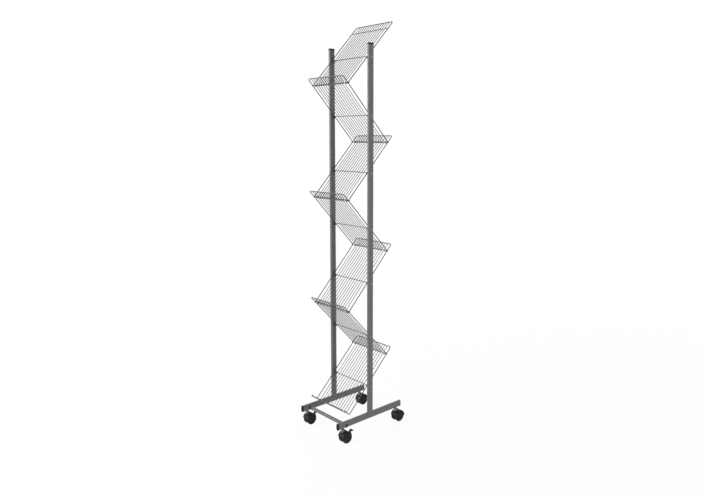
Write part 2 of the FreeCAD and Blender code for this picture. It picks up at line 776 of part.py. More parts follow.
def crossbar_parts():
    """The round bar between the feet, with its washers, threaded plugs and bolts."""
    y = "-" + CROSSBAR_Y
    reach = f"({POST_INNER} - washer_thickness)"
    bar = ring("crossbar", "crossbar_dia / 2", "crossbar_dia / 2 - crossbar_wall", f"2 * {reach}",
               across(f"-{reach}", y, CROSSBAR_Z))
    bore = "crossbar_bolt / 2 + bolt_play"
    washer = ring("washer", "washer_dia / 2", bore, "washer_thickness", at())
    plug = ring("plug", "crossbar_dia / 2 - crossbar_wall - cap_play", bore, "crossbar_plug", at())
    length = "(tube_width + washer_thickness + crossbar_bolt_bite)"
    bolt = screw("crossbar_bolt", "crossbar_bolt / 2", length, "crossbar_bolt_head / 2",
                 "crossbar_bolt_crown")
    washers = [copy_of(washer, across(x, y, CROSSBAR_Z)) for x in (reach, f"-{POST_INNER}")]
    plugs = [copy_of(plug, across(x, y, CROSSBAR_Z)) for x in (f"{reach} - crossbar_plug", f"-{reach}")]
    bolts = [copy_of(bolt, at(POST_OUTER, y, CROSSBAR_Z)),
             copy_of(bolt, at(f"-{POST_OUTER}", y, CROSSBAR_Z, turn="180"))]
    return [bar, group("crossbar_washers", washers), group("crossbar_plugs", plugs),
            group("crossbar_bolts", bolts)]


# ---------------------------------------------------------------------------------------
# Casters, each drawn with its stem on the Z axis and its wheels trailing towards +Y
# ---------------------------------------------------------------------------------------
def caster_stem(label, placement):
    """The fixed stem: a pin in the hood, a hexagon collar and a thread up into the foot."""
    body = new_body(label, placement)
    pin_foot = "(socket_floor + swivel_gap)"
    collar_foot = "(boss_height + swivel_gap)"
    thread_top = f"({FOOT_MIDDLE} - tube_depth / 2 + tube_width / 2 + stem_bush)"
    pin = {"Radius": "stem_dia / 2", "Height": f"{thread_top} - {pin_foot}"}
    add(body, "AdditiveCylinder", "pin", at(z=pin_foot), pin)
    collar = {"Circumradius": "collar_across / 2 / cos(30)", "Height": f"{STEM_BOSS_FOOT} - {collar_foot}"}
    add(body, "AdditivePrism", "collar", at(z=collar_foot), collar, Polygon=6)
    return body


def hood(label, placement, braked):
    """The swivelling hood: a web between the wheels, a fender over them and a stem socket."""
    body = new_body(label, placement)
    rear = "brake_hood_rear" if braked else "hood_rear"
    left = f"-{HOOD_WIDTH} / 2"
    fender = {"Radius": HOOD_RADIUS, "Height": HOOD_WIDTH, "Angle": f"hood_front - ({rear})"}
    add(body, "AdditiveCylinder", "fender", across(left, "trail", AXLE_Z, rear), fender)
    arch = {"Radius": ARCH_RADIUS, "Height": HOOD_WIDTH}
    add(body, "SubtractiveCylinder", "left_arch",
        across(f"-{HOOD_WIDTH} - web_width / 2", "trail", AXLE_Z), arch)
    add(body, "SubtractiveCylinder", "right_arch", across("web_width / 2", "trail", AXLE_Z), arch)
    web = {"Radius": "web_radius", "Height": "web_width"}
    add(body, "AdditiveCylinder", "web", across("-web_width / 2", "trail", AXLE_Z), web)
    boss = {"Radius": "web_width / 2", "Height": "boss_height - hood_skirt"}
    add(body, "AdditiveCylinder", "boss", at(z="hood_skirt"), boss)
    skirt = {"Length": f"2 * {HOOD_WIDTH}", "Width": f"4 * {HOOD_RADIUS}", "Height": "hood_skirt"}
    add(body, "SubtractiveBox", "skirt", at(f"-{HOOD_WIDTH}", f"trail - 2 * {HOOD_RADIUS}"), skirt)
    socket = {"Radius": "stem_dia / 2 + running_play", "Height": "boss_height - socket_floor"}
    add(body, "SubtractiveCylinder", "socket", at(z="socket_floor"), socket)
    axle_bore = {"Radius": "axle_dia / 2 + running_play", "Height": HOOD_WIDTH}
    add(body, "SubtractiveCylinder", "axle_bore", across(left, "trail", AXLE_Z), axle_bore)
    if braked:
        pedal_slot(body)
    return body


def pedal_slot(body):
    """Room in the web for the pedal's lug to swing, and a bore for its pin."""
    width = "(pedal_lug + 2 * pedal_slot_play)"
    left = f"-{width} / 2"
    pocket = {"Radius": "pedal_slot_radius", "Height": width}
    add(body, "SubtractiveCylinder", "slot_floor", across(left, PIN_Y, PIN_Z), pocket)
    mouth = {"Length": HOOD_RADIUS, "Width": "2 * pedal_slot_radius", "Height": width}
    y = f"{PIN_Y} + pedal_slot_radius * sin(pedal_pin_angle)"
    z = f"{PIN_Z} - pedal_slot_radius * cos(pedal_pin_angle)"
    add(body, "SubtractiveBox", "slot_mouth", across(left, y, z, "pedal_pin_angle"), mouth)
    bore = {"Radius": "pedal_pin / 2", "Height": "web_width"}
    add(body, "SubtractiveCylinder", "pin_bore", across("-web_width / 2", PIN_Y, PIN_Z), bore)


def brake_pedal(label, placement):
    """A shoe behind the wheels, an arm from the pedal's pin and a hooked tail to step on."""
    body = new_body(label, placement)
    left = "-pedal_width / 2"
    shoe = {"Radius": f"{PEDAL_RADIUS} + pedal_wall", "Height": "pedal_width",
            "Angle": "pedal_top - pedal_root"}
    add(body, "AdditiveCylinder", "shoe", across(left, "trail", AXLE_Z, "pedal_root"), shoe)
    hollow = {"Radius": PEDAL_RADIUS, "Height": "pedal_width"}
    add(body, "SubtractiveCylinder", "shoe_hollow", across(left, "trail", AXLE_Z), hollow)
    tail_y = f"(trail + {PEDAL_RADIUS} * cos(pedal_tail_root))"
    tail_z = f"({AXLE_Z} + {PEDAL_RADIUS} * sin(pedal_tail_root))"
    tail = {"Length": "pedal_tail", "Width": "pedal_wall", "Height": "pedal_lug"}
    add(body, "AdditiveBox", "tail", across("-pedal_lug / 2", tail_y, tail_z, "pedal_tail_slope"), tail)
    hook_y = f"({tail_y} + pedal_tail * cos(pedal_tail_slope) - pedal_wall)"
    hook_z = f"({tail_z} + pedal_tail * sin(pedal_tail_slope))"
    hook = {"Length": "pedal_hook", "Width": "pedal_wall", "Height": "pedal_hook_width"}
    add(body, "AdditiveBox", "hook", across("-pedal_hook_width / 2", hook_y, hook_z, "pedal_hook_slope"), hook)
    lug = {"Radius": "pedal_lug_radius", "Height": "pedal_lug"}
    add(body, "AdditiveCylinder", "lug", across("-pedal_lug / 2", PIN_Y, PIN_Z), lug)
    neck = {"Length": f"{PEDAL_RADIUS} + pedal_wall / 2 - pedal_pin_reach", "Width": "pedal_neck",
            "Height": "pedal_lug"}
    neck_y = f"{PIN_Y} + pedal_neck / 2 * sin(pedal_pin_angle)"
    neck_z = f"{PIN_Z} - pedal_neck / 2 * cos(pedal_pin_angle)"
    add(body, "AdditiveBox", "neck", across("-pedal_lug / 2", neck_y, neck_z, "pedal_pin_angle"), neck)
    bore = {"Radius": "pedal_pin / 2 + running_play", "Height": "pedal_lug"}
    add(body, "SubtractiveCylinder", "pin_bore", across("-pedal_lug / 2", PIN_Y, PIN_Z), bore)
    return body


def wheel(label, placement):
    """A moulded wheel turned about X: a tread, a dished face and a blind hub."""
    body = new_body(label, placement)
    profile = sketch(body, "XZ_Plane", "wheel_profile")
    bore = "axle_dia / 2 + running_play"
    depth = "wheel_width - wheel_cover"
    rim = "wheel_dia / 2"
    polygon(profile, [
        ("0", bore),
        ("0", f"{rim} - wheel_shoulder / 2"),
        ("wheel_shoulder / 2", rim),
        ("wheel_width - wheel_shoulder", rim),
        ("wheel_width", f"{rim} - wheel_shoulder"),
        ("wheel_width", f"{rim} - wheel_rim"),
        ("wheel_width - wheel_dish", f"{rim} - wheel_rim - wheel_slope"),
        ("wheel_width - wheel_dish", "wheel_hub / 2 + wheel_slope / 2"),
        ("wheel_width", "wheel_hub / 2"),
        ("wheel_width", "0"),
        (depth, "0"),
        (depth, bore),
    ])
    turned = body.newObject("PartDesign::Revolution", "turned_wheel")
    turned.Profile = profile
    turned.ReferenceAxis = (origin_part(body, "X_Axis"), [""])
    turned.Angle = 360
    body.Tip = turned
    return body


def caster(end, side, x, y, braked):
    """All the pieces of one caster."""
    name = f"{end}_{side}"
    here = at(x, y)
    pieces = [caster_stem(f"caster_stem_{name}", here), hood(f"caster_hood_{name}", here, braked)]
    axle_length = f"(2 * ({WHEEL_FACE} + wheel_width - wheel_cover) - 2 * web_gap)"
    axle = cylinder(f"caster_axle_{name}", "axle_dia / 2", axle_length,
                    across(f"{x} - {axle_length} / 2", f"{y} + trail", AXLE_Z))
    pieces.append(axle)
    for wheel_side, sign, turn in (("left", "-", "180"), ("right", "+", "0")):
        place = at(f"{x} {sign} {WHEEL_FACE}", f"{y} + trail", AXLE_Z, turn=turn)
        pieces.append(wheel(f"caster_wheel_{name}_{wheel_side}", place))
    if braked:
        pieces.append(brake_pedal(f"brake_pedal_{name}", here))
        pieces.append(cylinder(f"brake_pin_{name}", "pedal_pin / 2", "web_width",
                               across(f"{x} - web_width / 2", f"{y} + {PIN_Y}", PIN_Z)))
    return pieces


def casters():
    """Four casters and the bushes in the feet that take their stems."""
    pieces, bushes = [], []
    bush = ring("bush", "tube_width / 2 - tube_wall - cap_play", "stem_dia / 2", "stem_bush", at())
    for end, way in (("front", "-1"), ("rear", "1")):
        for side, sign in (("left", "-1"), ("right", "1")):
            x, y = f"{sign} * {POST_X}", f"{way} * {STEM_Y}"
            pieces += caster(end, side, x, y, braked=(end == "front"))
            bushes.append(copy_of(bush, at(x, y, "caster_height + tube_width / 2")))
    return pieces + [group("stem_bushes", bushes)]


# ---------------------------------------------------------------------------------------
# The whole rack
# ---------------------------------------------------------------------------------------
def build():
    """Make every sub-part, and return those that are written out."""
    nodes = []
    for side, sign in (("left", "-1"), ("right", "1")):
        nodes += [upright(side, sign), foot(side, sign)]
    nodes += caps() + crossbar_parts()
    nodes += [shelf_grille(number) for number in range(1, GRILLES)] + [tray_grille()]
    nodes += [junction_clips(), saddles(), grille_screws()]
    return nodes + casters()


def check(nodes):
    """Stop if anything in the document failed or any sub-part isn't a sound shape."""
    for thing in doc.Objects:
        if {"Invalid", "Error"} & set(thing.State):
            raise RuntimeError(f"{thing.Label} failed: {thing.State}")
    for node in nodes:
        if node.Shape.isNull() or not node.Shape.isValid() or not node.Shape.Solids:
            raise RuntimeError(f"{node.Label} is not a sound shape")


def write(nodes):
    """Write each sub-part to a file of its own."""
    os.makedirs("parts", exist_ok=True)
    for node in nodes:
        node.Shape.exportStep(f"parts/{node.Label}.step")
        box = node.Shape.BoundBox
        print(f"{node.Label}: {len(node.Shape.Solids)} solid(s), {node.Shape.Volume / 1000:.2f} cm3, "
              f"x {box.XMin:.1f}..{box.XMax:.1f}, y {box.YMin:.1f}..{box.YMax:.1f}, "
              f"z {box.ZMin:.1f}..{box.ZMax:.1f}")


rack = build()
doc.recompute()
check(rack)
write(rack)
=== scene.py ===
# %% [markdown]
# A periodical display rack on casters
#
# The rack is two upright tubes on two feet, seven welded wire grilles that zigzag between the
# uprights, and four twin-wheel casters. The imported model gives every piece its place. It could be
# shown as it is, but its wires have eight sides and its edges are sharp. This lesson dresses it:
# most pieces are remade with round wires, soft edges and mouldings, each in the place of the
# plain one, and every surface gets a finish worked out by nodes.

# %% Load the frame
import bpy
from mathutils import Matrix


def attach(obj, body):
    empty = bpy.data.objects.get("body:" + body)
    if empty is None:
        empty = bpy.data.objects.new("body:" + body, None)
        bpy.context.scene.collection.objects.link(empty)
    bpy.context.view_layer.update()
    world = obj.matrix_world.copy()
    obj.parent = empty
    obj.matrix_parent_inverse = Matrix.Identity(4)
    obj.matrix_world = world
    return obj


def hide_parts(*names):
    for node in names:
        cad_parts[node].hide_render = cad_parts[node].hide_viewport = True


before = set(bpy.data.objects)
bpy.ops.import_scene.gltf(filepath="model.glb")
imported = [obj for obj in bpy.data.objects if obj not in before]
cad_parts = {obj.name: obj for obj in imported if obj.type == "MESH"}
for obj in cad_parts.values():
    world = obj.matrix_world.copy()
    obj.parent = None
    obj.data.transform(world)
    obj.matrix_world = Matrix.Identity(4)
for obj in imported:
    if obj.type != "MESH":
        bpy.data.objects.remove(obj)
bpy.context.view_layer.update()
print("the frame holds", len(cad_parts), "nodes")

# %% [markdown]
# Tools that the whole lesson uses. Blender counts in metres, and a rack is drawn in millimetres,
# so each mesh is drawn in millimetres and brought down to metres when it is finished. A finished
# mesh is smooth across shallow angles and sharp across steep ones, as pressed and moulded pieces
# are. A subdivision surface could give soft edges too, but then the script would no longer say
# where each edge lies. A piece then says which body it rides on, which plain pieces it stands for
# and which finish it has.

# %% Units and finishing
import math
import bmesh
import bpy
from mathutils import Matrix, Vector

MM = 0.001
SMOOTH_BELOW = math.radians(38)
QUARTER = math.pi / 2


def finish_piece(name, bm, finish, body="rack", stands_for=()):
    """Turn a mesh drawn in millimetres into a piece that rides on a body."""
    bmesh.ops.transform(bm, matrix=Matrix.Scale(MM, 4), verts=bm.verts)
    bmesh.ops.recalc_face_normals(bm, faces=bm.faces)
    mesh = bpy.data.meshes.new(name)
    bm.to_mesh(mesh)
    bm.free()
    mesh.shade_smooth()
    mesh.set_sharp_from_angle(angle=SMOOTH_BELOW)
    mesh.materials.append(finish)
    piece = bpy.data.objects.new(name, mesh)
    bpy.context.scene.collection.objects.link(piece)
    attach(piece, body)
    if stands_for:
        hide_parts(*stands_for)
    return piece


print("pieces are smooth below", round(math.degrees(SMOOTH_BELOW)), "degrees")

# %% [markdown]
# A finish is made of patterns, and a pattern is noise: soft hills at random. A picture could
# carry it too, but noise has no edge or seam, and its hills can be given in millimetres. It is
# read from Object coordinates, which are the rack's own metres here, so it sits still on a piece.
# Three helpers build every finish: noise, a range spread over another one, and two values joined.

# %% Pattern helpers
EVEN = (1, 1, 1)


def noise(tree, size, detail, stretch=EVEN):
    """Noise with hills so far apart, drawn out along an axis where its stretch is small."""
    place = tree.nodes.new("ShaderNodeTexCoord")
    mapping = tree.nodes.new("ShaderNodeMapping")
    mapping.inputs["Scale"].default_value = stretch
    texture = tree.nodes.new("ShaderNodeTexNoise")
    texture.inputs["Scale"].default_value = 1 / (size * MM)
    texture.inputs["Detail"].default_value = detail
    tree.links.new(place.outputs["Object"], mapping.inputs["Vector"])
    tree.links.new(mapping.outputs["Vector"], texture.inputs["Vector"])
    return texture.outputs["Fac"]


def between(tree, value, low, high, result_low, result_high):
    """Spread a range of a value over a range of results."""
    spread = tree.nodes.new("ShaderNodeMapRange")
    sockets = ("From Min", "From Max", "To Min", "To Max")
    for socket, number in zip(sockets, (low, high, result_low, result_high)):
        spread.inputs[socket].default_value = number
    tree.links.new(value, spread.inputs["Value"])
    return spread.outputs["Result"]


def joined(tree, operation, first, second):
    """Two values joined by a sum, a product or the larger of the two."""
    node = tree.nodes.new("ShaderNodeMath")
    node.operation = operation
    tree.links.new(first, node.inputs[0])
    tree.links.new(second, node.inputs[1])
    return node.outputs["Value"]


print("pattern helpers:", [helper.__name__ for helper in (noise, between, joined)])

# %% [markdown]
# Powder-coated steel is a plain colour with a faint orange-peel surface: the powder melts into
# tiny hills about a millimetre apart. One noise pattern changes the colour a little and another
# one the shine, and a third, finer one bends the light as the hills do. Handling adds two things:
# a sparse scatter of pale specks where the coat is chipped or dusty, and fine rubbed streaks along
# the piece, where it shines a little more. Moulded plastic is made the same way with other sizes,
# so one helper builds all these finishes, where eleven node trees would say nearly the same.

# %% The finish helper
TINT_BAND = (0.3, 0.7)
SPECK_BAND = (0.66, 0.74)
RUB_SIZE = 1.6
RUB_BAND = (0.60, 0.72)
ROUGH_SPREAD = 0.08


def coat(name, colour, rough, metal=0.0, shade=0.06, patch=40.0, grain=0.9, grain_depth=0.02,
         gloss=0.5, speck=0.02, speck_size=2.5, streak=EVEN):
    """A coated or moulded surface: the sizes of its patterns are in millimetres."""
    finish = bpy.data.materials.new(name)
    finish.use_nodes = True
    tree = finish.node_tree
    shader = tree.nodes["Principled BSDF"]
    shader.inputs["Metallic"].default_value = metal
    shader.inputs["Specular IOR Level"].default_value = gloss

    tint = tree.nodes.new("ShaderNodeValToRGB")
    for stop, place, change in zip(tint.color_ramp.elements, TINT_BAND, (-shade, shade)):
        stop.position = place
        stop.color = [min(1, c * (1 + change)) for c in colour] + [1]
    tree.links.new(noise(tree, patch, detail=3), tint.inputs["Fac"])

    dusty = tree.nodes.new("ShaderNodeMixRGB")
    dusty.inputs["Color2"].default_value = [c + speck for c in colour] + [1]
    specks = between(tree, noise(tree, speck_size, detail=2), *SPECK_BAND, 0.0, 1.0)
    tree.links.new(specks, dusty.inputs["Fac"])
    tree.links.new(tint.outputs["Color"], dusty.inputs["Color1"])
    tree.links.new(dusty.outputs["Color"], shader.inputs["Base Color"])

    uneven = between(tree, noise(tree, patch / 4, detail=4), 0.0, 1.0,
                     rough - ROUGH_SPREAD, rough + ROUGH_SPREAD)
    rubbed = between(tree, noise(tree, RUB_SIZE, detail=3, stretch=streak), *RUB_BAND,
                     0.0, -ROUGH_SPREAD)
    tree.links.new(joined(tree, "ADD", uneven, rubbed), shader.inputs["Roughness"])

    hills = tree.nodes.new("ShaderNodeBump")
    hills.inputs["Strength"].default_value = 1.0
    hills.inputs["Distance"].default_value = grain_depth * MM
    tree.links.new(noise(tree, grain, detail=2), hills.inputs["Height"])
    tree.links.new(hills.outputs["Normal"], shader.inputs["Normal"])
    return finish


print("specks lie where noise passes", SPECK_BAND, "and rubs where it passes", RUB_BAND)

# %% [markdown]
# The tubes carry a mid-grey powder coat, rubbed along each tube: along Z on an upright, Y on a
# foot and X on the bar between the feet, whose coat is duller and shows no streak of light. One
# finish could serve all three, but its streaks would then run across two of them. The grilles are
# darker, small steel is plated with zinc, which is bright and blotched in small patches, and the
# bolts of the bar are blackened.

# %% Steel finishes
DRAWN_OUT = 0.04
TUBE_COAT = dict(colour=(0.124, 0.125, 0.127), metal=0.1, rough=0.44, grain=1.1,
                 grain_depth=0.03, speck=0.05)
upright_paint = coat("upright_paint", streak=(1, 1, DRAWN_OUT), **TUBE_COAT)
foot_paint = coat("foot_paint", streak=(1, DRAWN_OUT, 1), **TUBE_COAT)
bar_paint = coat("bar_paint", streak=(DRAWN_OUT, 1, 1),
                 **TUBE_COAT | {"rough": 0.62, "gloss": 0.35})
wire_paint = coat("wire_paint", (0.062, 0.063, 0.065), 0.45, metal=0.1, patch=25, speck=0.04)
zinc = coat("zinc", (0.30, 0.30, 0.295), 0.40, metal=0.9, shade=0.12, patch=4, grain=0.4,
            grain_depth=0.008, speck=0.08)
black_steel = coat("black_steel", (0.012, 0.012, 0.0125), 0.5, grain=0.5, gloss=0.35)
print("steel finishes:", [finish.name for finish in (
    upright_paint, foot_paint, bar_paint, wire_paint, zinc, black_steel)])

# %% [markdown]
# The moulded pieces are near black, with the fine grain of an etched mould. They could share one
# plastic, but they come from different moulds: the saddles are charcoal nylon, the caps are
# smoother than the casters, the wheels have picked up dust, and the washers are dull rubber.

# %% Plastic and rubber finishes
saddle_plastic = coat("saddle_plastic", (0.036, 0.036, 0.037), 0.55, grain=0.5, gloss=0.3)
cap_plastic = coat("cap_plastic", (0.009, 0.009, 0.0094), 0.55, grain=0.5, gloss=0.25)
caster_plastic = coat("caster_plastic", (0.0085, 0.0085, 0.009), 0.6, grain=0.45,
                      grain_depth=0.03, gloss=0.2)
wheel_plastic = coat("wheel_plastic", (0.010, 0.010, 0.0104), 0.62, grain=0.6, gloss=0.2,
                     speck=0.03, speck_size=1.6)
rubber = coat("rubber", (0.014, 0.014, 0.014), 0.75, grain=0.7, grain_depth=0.04, gloss=0.2)
print("plastics and rubber:", [finish.name for finish in (
    saddle_plastic, cap_plastic, caster_plastic, wheel_plastic, rubber)])

# %% [markdown]
# The rack's measures, in millimetres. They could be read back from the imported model, piece by
# piece, but it was drawn from the same few numbers, and named once they hold all pieces together.
# The tube is a flat oval, 15 by 30. A grille has a border wire, thirteen long wires, which are
# the thinnest, and cross wires under them; the heights of its wires count from the long ones.
# STOP is how far a grille runs on above the junction with the next one up, CORNER the radius of
# its border's two bends, and STAND_OFF how far its foot wire ends short of the junction below.

# %% Measures
SIDES = {"left": -1, "right": 1}
POST_X = 126.0
POST_TOP = 1700.0
TUBE_WIDTH, TUBE_DEPTH = 15.0, 30.0
FOOT_LOW = 68.0
FOOT_MIDDLE = FOOT_LOW + TUBE_DEPTH / 2
FOOT_ARC_Z = FOOT_MIDDLE + (TUBE_DEPTH - TUBE_WIDTH) / 2
FOOT_HALF = 188.0
FOOT_FACE = POST_X + TUBE_WIDTH / 2
STEM_Y = 162.5
GRILLES = 7
HALF_DEPTH = 114.5
SHELF_RISE, TRAY_RISE = 240.0, 226.5
RISE = {number: SHELF_RISE for number in range(1, GRILLES)} | {GRILLES: TRAY_RISE}
LOWEST_HINGE = 338.5
FIXING_DROP = 10.0
STOP = 38.0
BORDER_R, INNER_R, LONG_R = 2.0, 1.5, 1.35
SIDE_X = 115.0
CORNER = 10.0
BORDER_Z, CROSS_Z, EDGE_Z = 0.5, -2.7, -3.2
STAND_OFF = 4.6
OUTER_WIRE_X, WIRE_PITCH, WIRE_COUNT = 93.0, 15.5, 13
LONG_WIRES = [-OUTER_WIRE_X + WIRE_PITCH * i for i in range(WIRE_COUNT)]
print("long wires at", LONG_WIRES)

# %% [markdown]
# The grilles zigzag: each one leans the other way, with its foot on the next one. They are
# numbered from the top, and the odd ones lean towards the back. Each could be drawn where it
# hangs, but flat it is nearly the same drawing seven times. Its y = 0 is the cross wire that the
# grille above rests on. Above it the grille runs on for the stop, which holds up the periodicals
# of the grille above, and below it for its slope. A frame leans the drawing, turns it round if
# its number is even and lifts it to its height. The screws sit a little below its middle.

# %% Where a grille goes
def lean(number):
    """The grille's angle from the floor."""
    return math.atan2(RISE[number], 2 * HALF_DEPTH)


def slope(number):
    """The grille's length between the two junctions it spans."""
    return math.hypot(RISE[number], 2 * HALF_DEPTH)


def hinge_height(number):
    """Height of the cross wire that the grille above rests on."""
    return LOWEST_HINGE + (GRILLES - number) * SHELF_RISE


def fixing_height(number):
    """Height of the screws at the grille's middle."""
    return hinge_height(number) - RISE[number] / 2 - FIXING_DROP


def fixing_along(number):
    """How far down the slope the middle cross wire lies."""
    return slope(number) / 2 + FIXING_DROP * math.sin(lean(number))


def grille_frame(number):
    """Where a grille that is drawn flat goes: leant about X, and turned if it leans forward."""
    to_back = number % 2 == 1
    junction = (0, HALF_DEPTH if to_back else -HALF_DEPTH, hinge_height(number))
    turned = Matrix.Rotation(0 if to_back else math.pi, 4, "Z")
    return Matrix.Translation(junction) @ turned @ Matrix.Rotation(lean(number), 4, "X")


print("grille slopes:", [round(slope(number), 1) for number in RISE])
print("grille leans:", [round(math.degrees(lean(number)), 1) for number in RISE], "degrees")

# %% [markdown]
# A wire is a round section drawn along a path. On the real grille each wire is cut or bent from a
# coil of bright steel wire. A curve with a bevel could stand for it, but it rounds off its ends
# and bends in its own way. Here a circle of edges is extruded along the straight runs and spun
# round the bends, which is how a bending machine turns the wire round a pin. The two ends are
# closed with a face.

# %% The wire helper
WIRE_FACETS = 14
BEND_STEPS = 8


def facing(point, direction):
    """A placement at a point whose Z looks along a direction."""
    turned = Vector(direction).to_track_quat("Z", "Y").to_matrix().to_4x4()
    return Matrix.Translation(point) @ turned


def of_kind(items, kind):
    """The points or the edges among the parts of a mesh."""
    return [item for item in items if isinstance(item, kind)]


def wire(bm, radius, start, direction, runs):
    """Draw a wire: each run is a length, or a bend given as its centre, axis and angle."""
    heading = Vector(direction).normalized()
    circle = bmesh.ops.create_circle(bm, segments=WIRE_FACETS, radius=radius,
                                     matrix=facing(start, heading))
    ring = list({edge for vert in circle["verts"] for edge in vert.link_edges})
    bmesh.ops.edgeloop_fill(bm, edges=ring)
    for run in runs:
        if isinstance(run, tuple):
            centre, axis, angle = run
            spun = bmesh.ops.spin(bm, geom=ring, cent=centre, axis=axis, angle=angle,
                                  steps=BEND_STEPS, use_merge=False, use_duplicate=False)
            ring = of_kind(spun["geom_last"], bmesh.types.BMEdge)
            heading = Matrix.Rotation(angle, 3, Vector(axis)) @ heading
        else:
            grown = bmesh.ops.extrude_edge_only(bm, edges=ring)["geom"]
            tips = of_kind(grown, bmesh.types.BMVert)
            bmesh.ops.translate(bm, verts=tips, vec=heading * run)
            ring = [edge for edge in of_kind(grown, bmesh.types.BMEdge)
                    if all(vert in tips for vert in edge.verts)]
    bmesh.ops.edgeloop_fill(bm, edges=ring)


print("a wire has", WIRE_FACETS, "facets, and a bend", BEND_STEPS, "steps")

# %% [markdown]
# Where two wires of a grille cross, the welding machine presses them together and squeezes out
# a little steel. The wires could be cut and joined into one skin, but a small flattened ball sunk
# into both looks the same and leaves them whole. A cross wire runs from one side of the border to
# the other, with a bead at each wire that it meets. The border is one wire: up one side, round the
# top and down the other.

# %% Parts of a grille
BEAD_R, BEAD_SHAPE = 1.55, (1.25, 1.25, 0.8, 1)
TIP_BEAD = 1.2


def weld_beads(bm, crossings):
    """A small bead of steel where two wires are welded."""
    for crossing in crossings:
        place = Matrix.Translation(crossing) @ Matrix.Diagonal(BEAD_SHAPE)
        bmesh.ops.create_icosphere(bm, subdivisions=2, radius=BEAD_R, matrix=place)


def bead_row(bm, y):
    """The beads along a cross wire, under the long wires and the border."""
    weld_beads(bm, [(x, y, -INNER_R) for x in LONG_WIRES + [-SIDE_X, SIDE_X]])


def cross_wire(bm, y, z, radius):
    """A wire from one side of the border to the other."""
    half = SIDE_X + BORDER_R
    wire(bm, radius, (-half, y, z), (1, 0, 0), [2 * half])


def border_runs(side_length):
    """Up one side, round the top and down the other."""
    top = STOP - CORNER
    across = SIDE_X - CORNER
    corners = [((x, top, BORDER_Z), (0, 0, -1), QUARTER) for x in (-across, across)]
    return [side_length + top, corners[0], 2 * across, corners[1], side_length + top]


def hang(bm, number):
    """Weld the long wires to the top of the border and put the grille in its place."""
    weld_beads(bm, [(x, STOP - TIP_BEAD, 0) for x in LONG_WIRES])
    bmesh.ops.transform(bm, matrix=grille_frame(number), verts=bm.verts)
    return finish_piece(f"wire_grille_{number}", bm, wire_paint,
                        stands_for=[f"grille_{number}"])


print("a grille has", len(LONG_WIRES), "long wires,", 2 * LONG_R, "thick")

# %% [markdown]
# A shelf grille carries the periodicals of one pocket. Under its long wires lie three cross
# wires: one at the junction, one at the middle and a thick one at the foot, which rests on the
# next grille. One grille could be drawn and copied six times, but each copy would have to be
# turned as an object, and finished pieces stay unturned. So the same few lines draw each one.

# %% Shelf grilles
FOOT_OVERHANG = 1.5


def shelf_grille(number):
    """A flat grille whose foot rests on the next one."""
    bm = bmesh.new()
    edge_y = -(slope(number) - STAND_OFF)
    foot_y = edge_y - FOOT_OVERHANG
    wire(bm, BORDER_R, (-SIDE_X, foot_y, BORDER_Z), (0, 1, 0), border_runs(-foot_y))
    for x in LONG_WIRES:
        wire(bm, LONG_R, (x, foot_y, 0), (0, 1, 0), [STOP - foot_y])
    for y, z, radius in ((0, CROSS_Z, INNER_R), (-fixing_along(number), CROSS_Z, INNER_R),
                         (edge_y, EDGE_Z, BORDER_R)):
        cross_wire(bm, y, z, radius)
        bead_row(bm, y)
    return hang(bm, number)


shelves = [shelf_grille(number) for number in range(1, GRILLES)]
print("shelf grilles:", [len(piece.data.polygons) for piece in shelves], "faces")

# %% [markdown]
# The lowest grille has no other one under its foot. On the real rack its wires are bent up there,
# all at once on a long folding machine, into the lip of the bottom tray. The lip could be a piece
# of its own, but then the wires would show a joint at the fold. So each wire simply gets a bend
# and one more run. A point of the lip is told by its reach from the fold and by how far it lies
# outside the long wires.

# %% Tray grille
TRAY_R = 8.0
FOLD = lean(GRILLES) + lean(1)
BEND_Y = TRAY_R * math.tan(FOLD / 2) - slope(GRILLES)
LIP_RUN = STOP - TRAY_R * math.tan(FOLD / 2)


def lip_point(reach, out):
    """A point of the tray's lip, so far from the fold and so far outside its wires."""
    along = Vector((0, -math.cos(FOLD), math.sin(FOLD)))
    outside = Vector((0, -math.sin(FOLD), -math.cos(FOLD)))
    return Vector((0, -slope(GRILLES), 0)) + along * reach + outside * out


def tray_grille():
    """The lowest grille, with its front end bent up into a lip."""
    bm = bmesh.new()
    middle_y = -fixing_along(GRILLES)
    up_side = [LIP_RUN, ((0, BEND_Y, TRAY_R), (1, 0, 0), FOLD)]
    down_side = [((0, BEND_Y, TRAY_R), (-1, 0, 0), FOLD), LIP_RUN]
    tip = lip_point(STOP, -BORDER_Z)
    down = Vector((0, math.cos(FOLD), -math.sin(FOLD)))
    wire(bm, BORDER_R, (-SIDE_X, tip.y, tip.z), down,
         [*up_side, *border_runs(-BEND_Y), *down_side])
    for x in LONG_WIRES:
        wire(bm, LONG_R, (x, STOP, 0), (0, -1, 0), [STOP - BEND_Y, *down_side])
    edge = lip_point(STOP - BORDER_R, -EDGE_Z)
    for y, z, radius in ((0, CROSS_Z, INNER_R), (middle_y, CROSS_Z, INNER_R),
                         (edge.y, edge.z, BORDER_R)):
        cross_wire(bm, y, z, radius)
    for y in (0, middle_y):
        bead_row(bm, y)
    return hang(bm, GRILLES)


print("tray grille:", len(tray_grille().data.polygons), "faces, folded by",
      round(math.degrees(FOLD), 1), "degrees")

# %% [markdown]
# The uprights and the feet are the same flat-oval tube. Its outline could be two half circles
# and two lines, but a circle pulled apart in two halves keeps one even count of points. The circle
# is turned by half a step first, so that no point lies on the line where the halves part. Two
# more helpers belong to it: one finds the edges of a ring of points, and one skins a pile of rings.

# %% Flat-oval outlines
OVAL_POINTS = 48


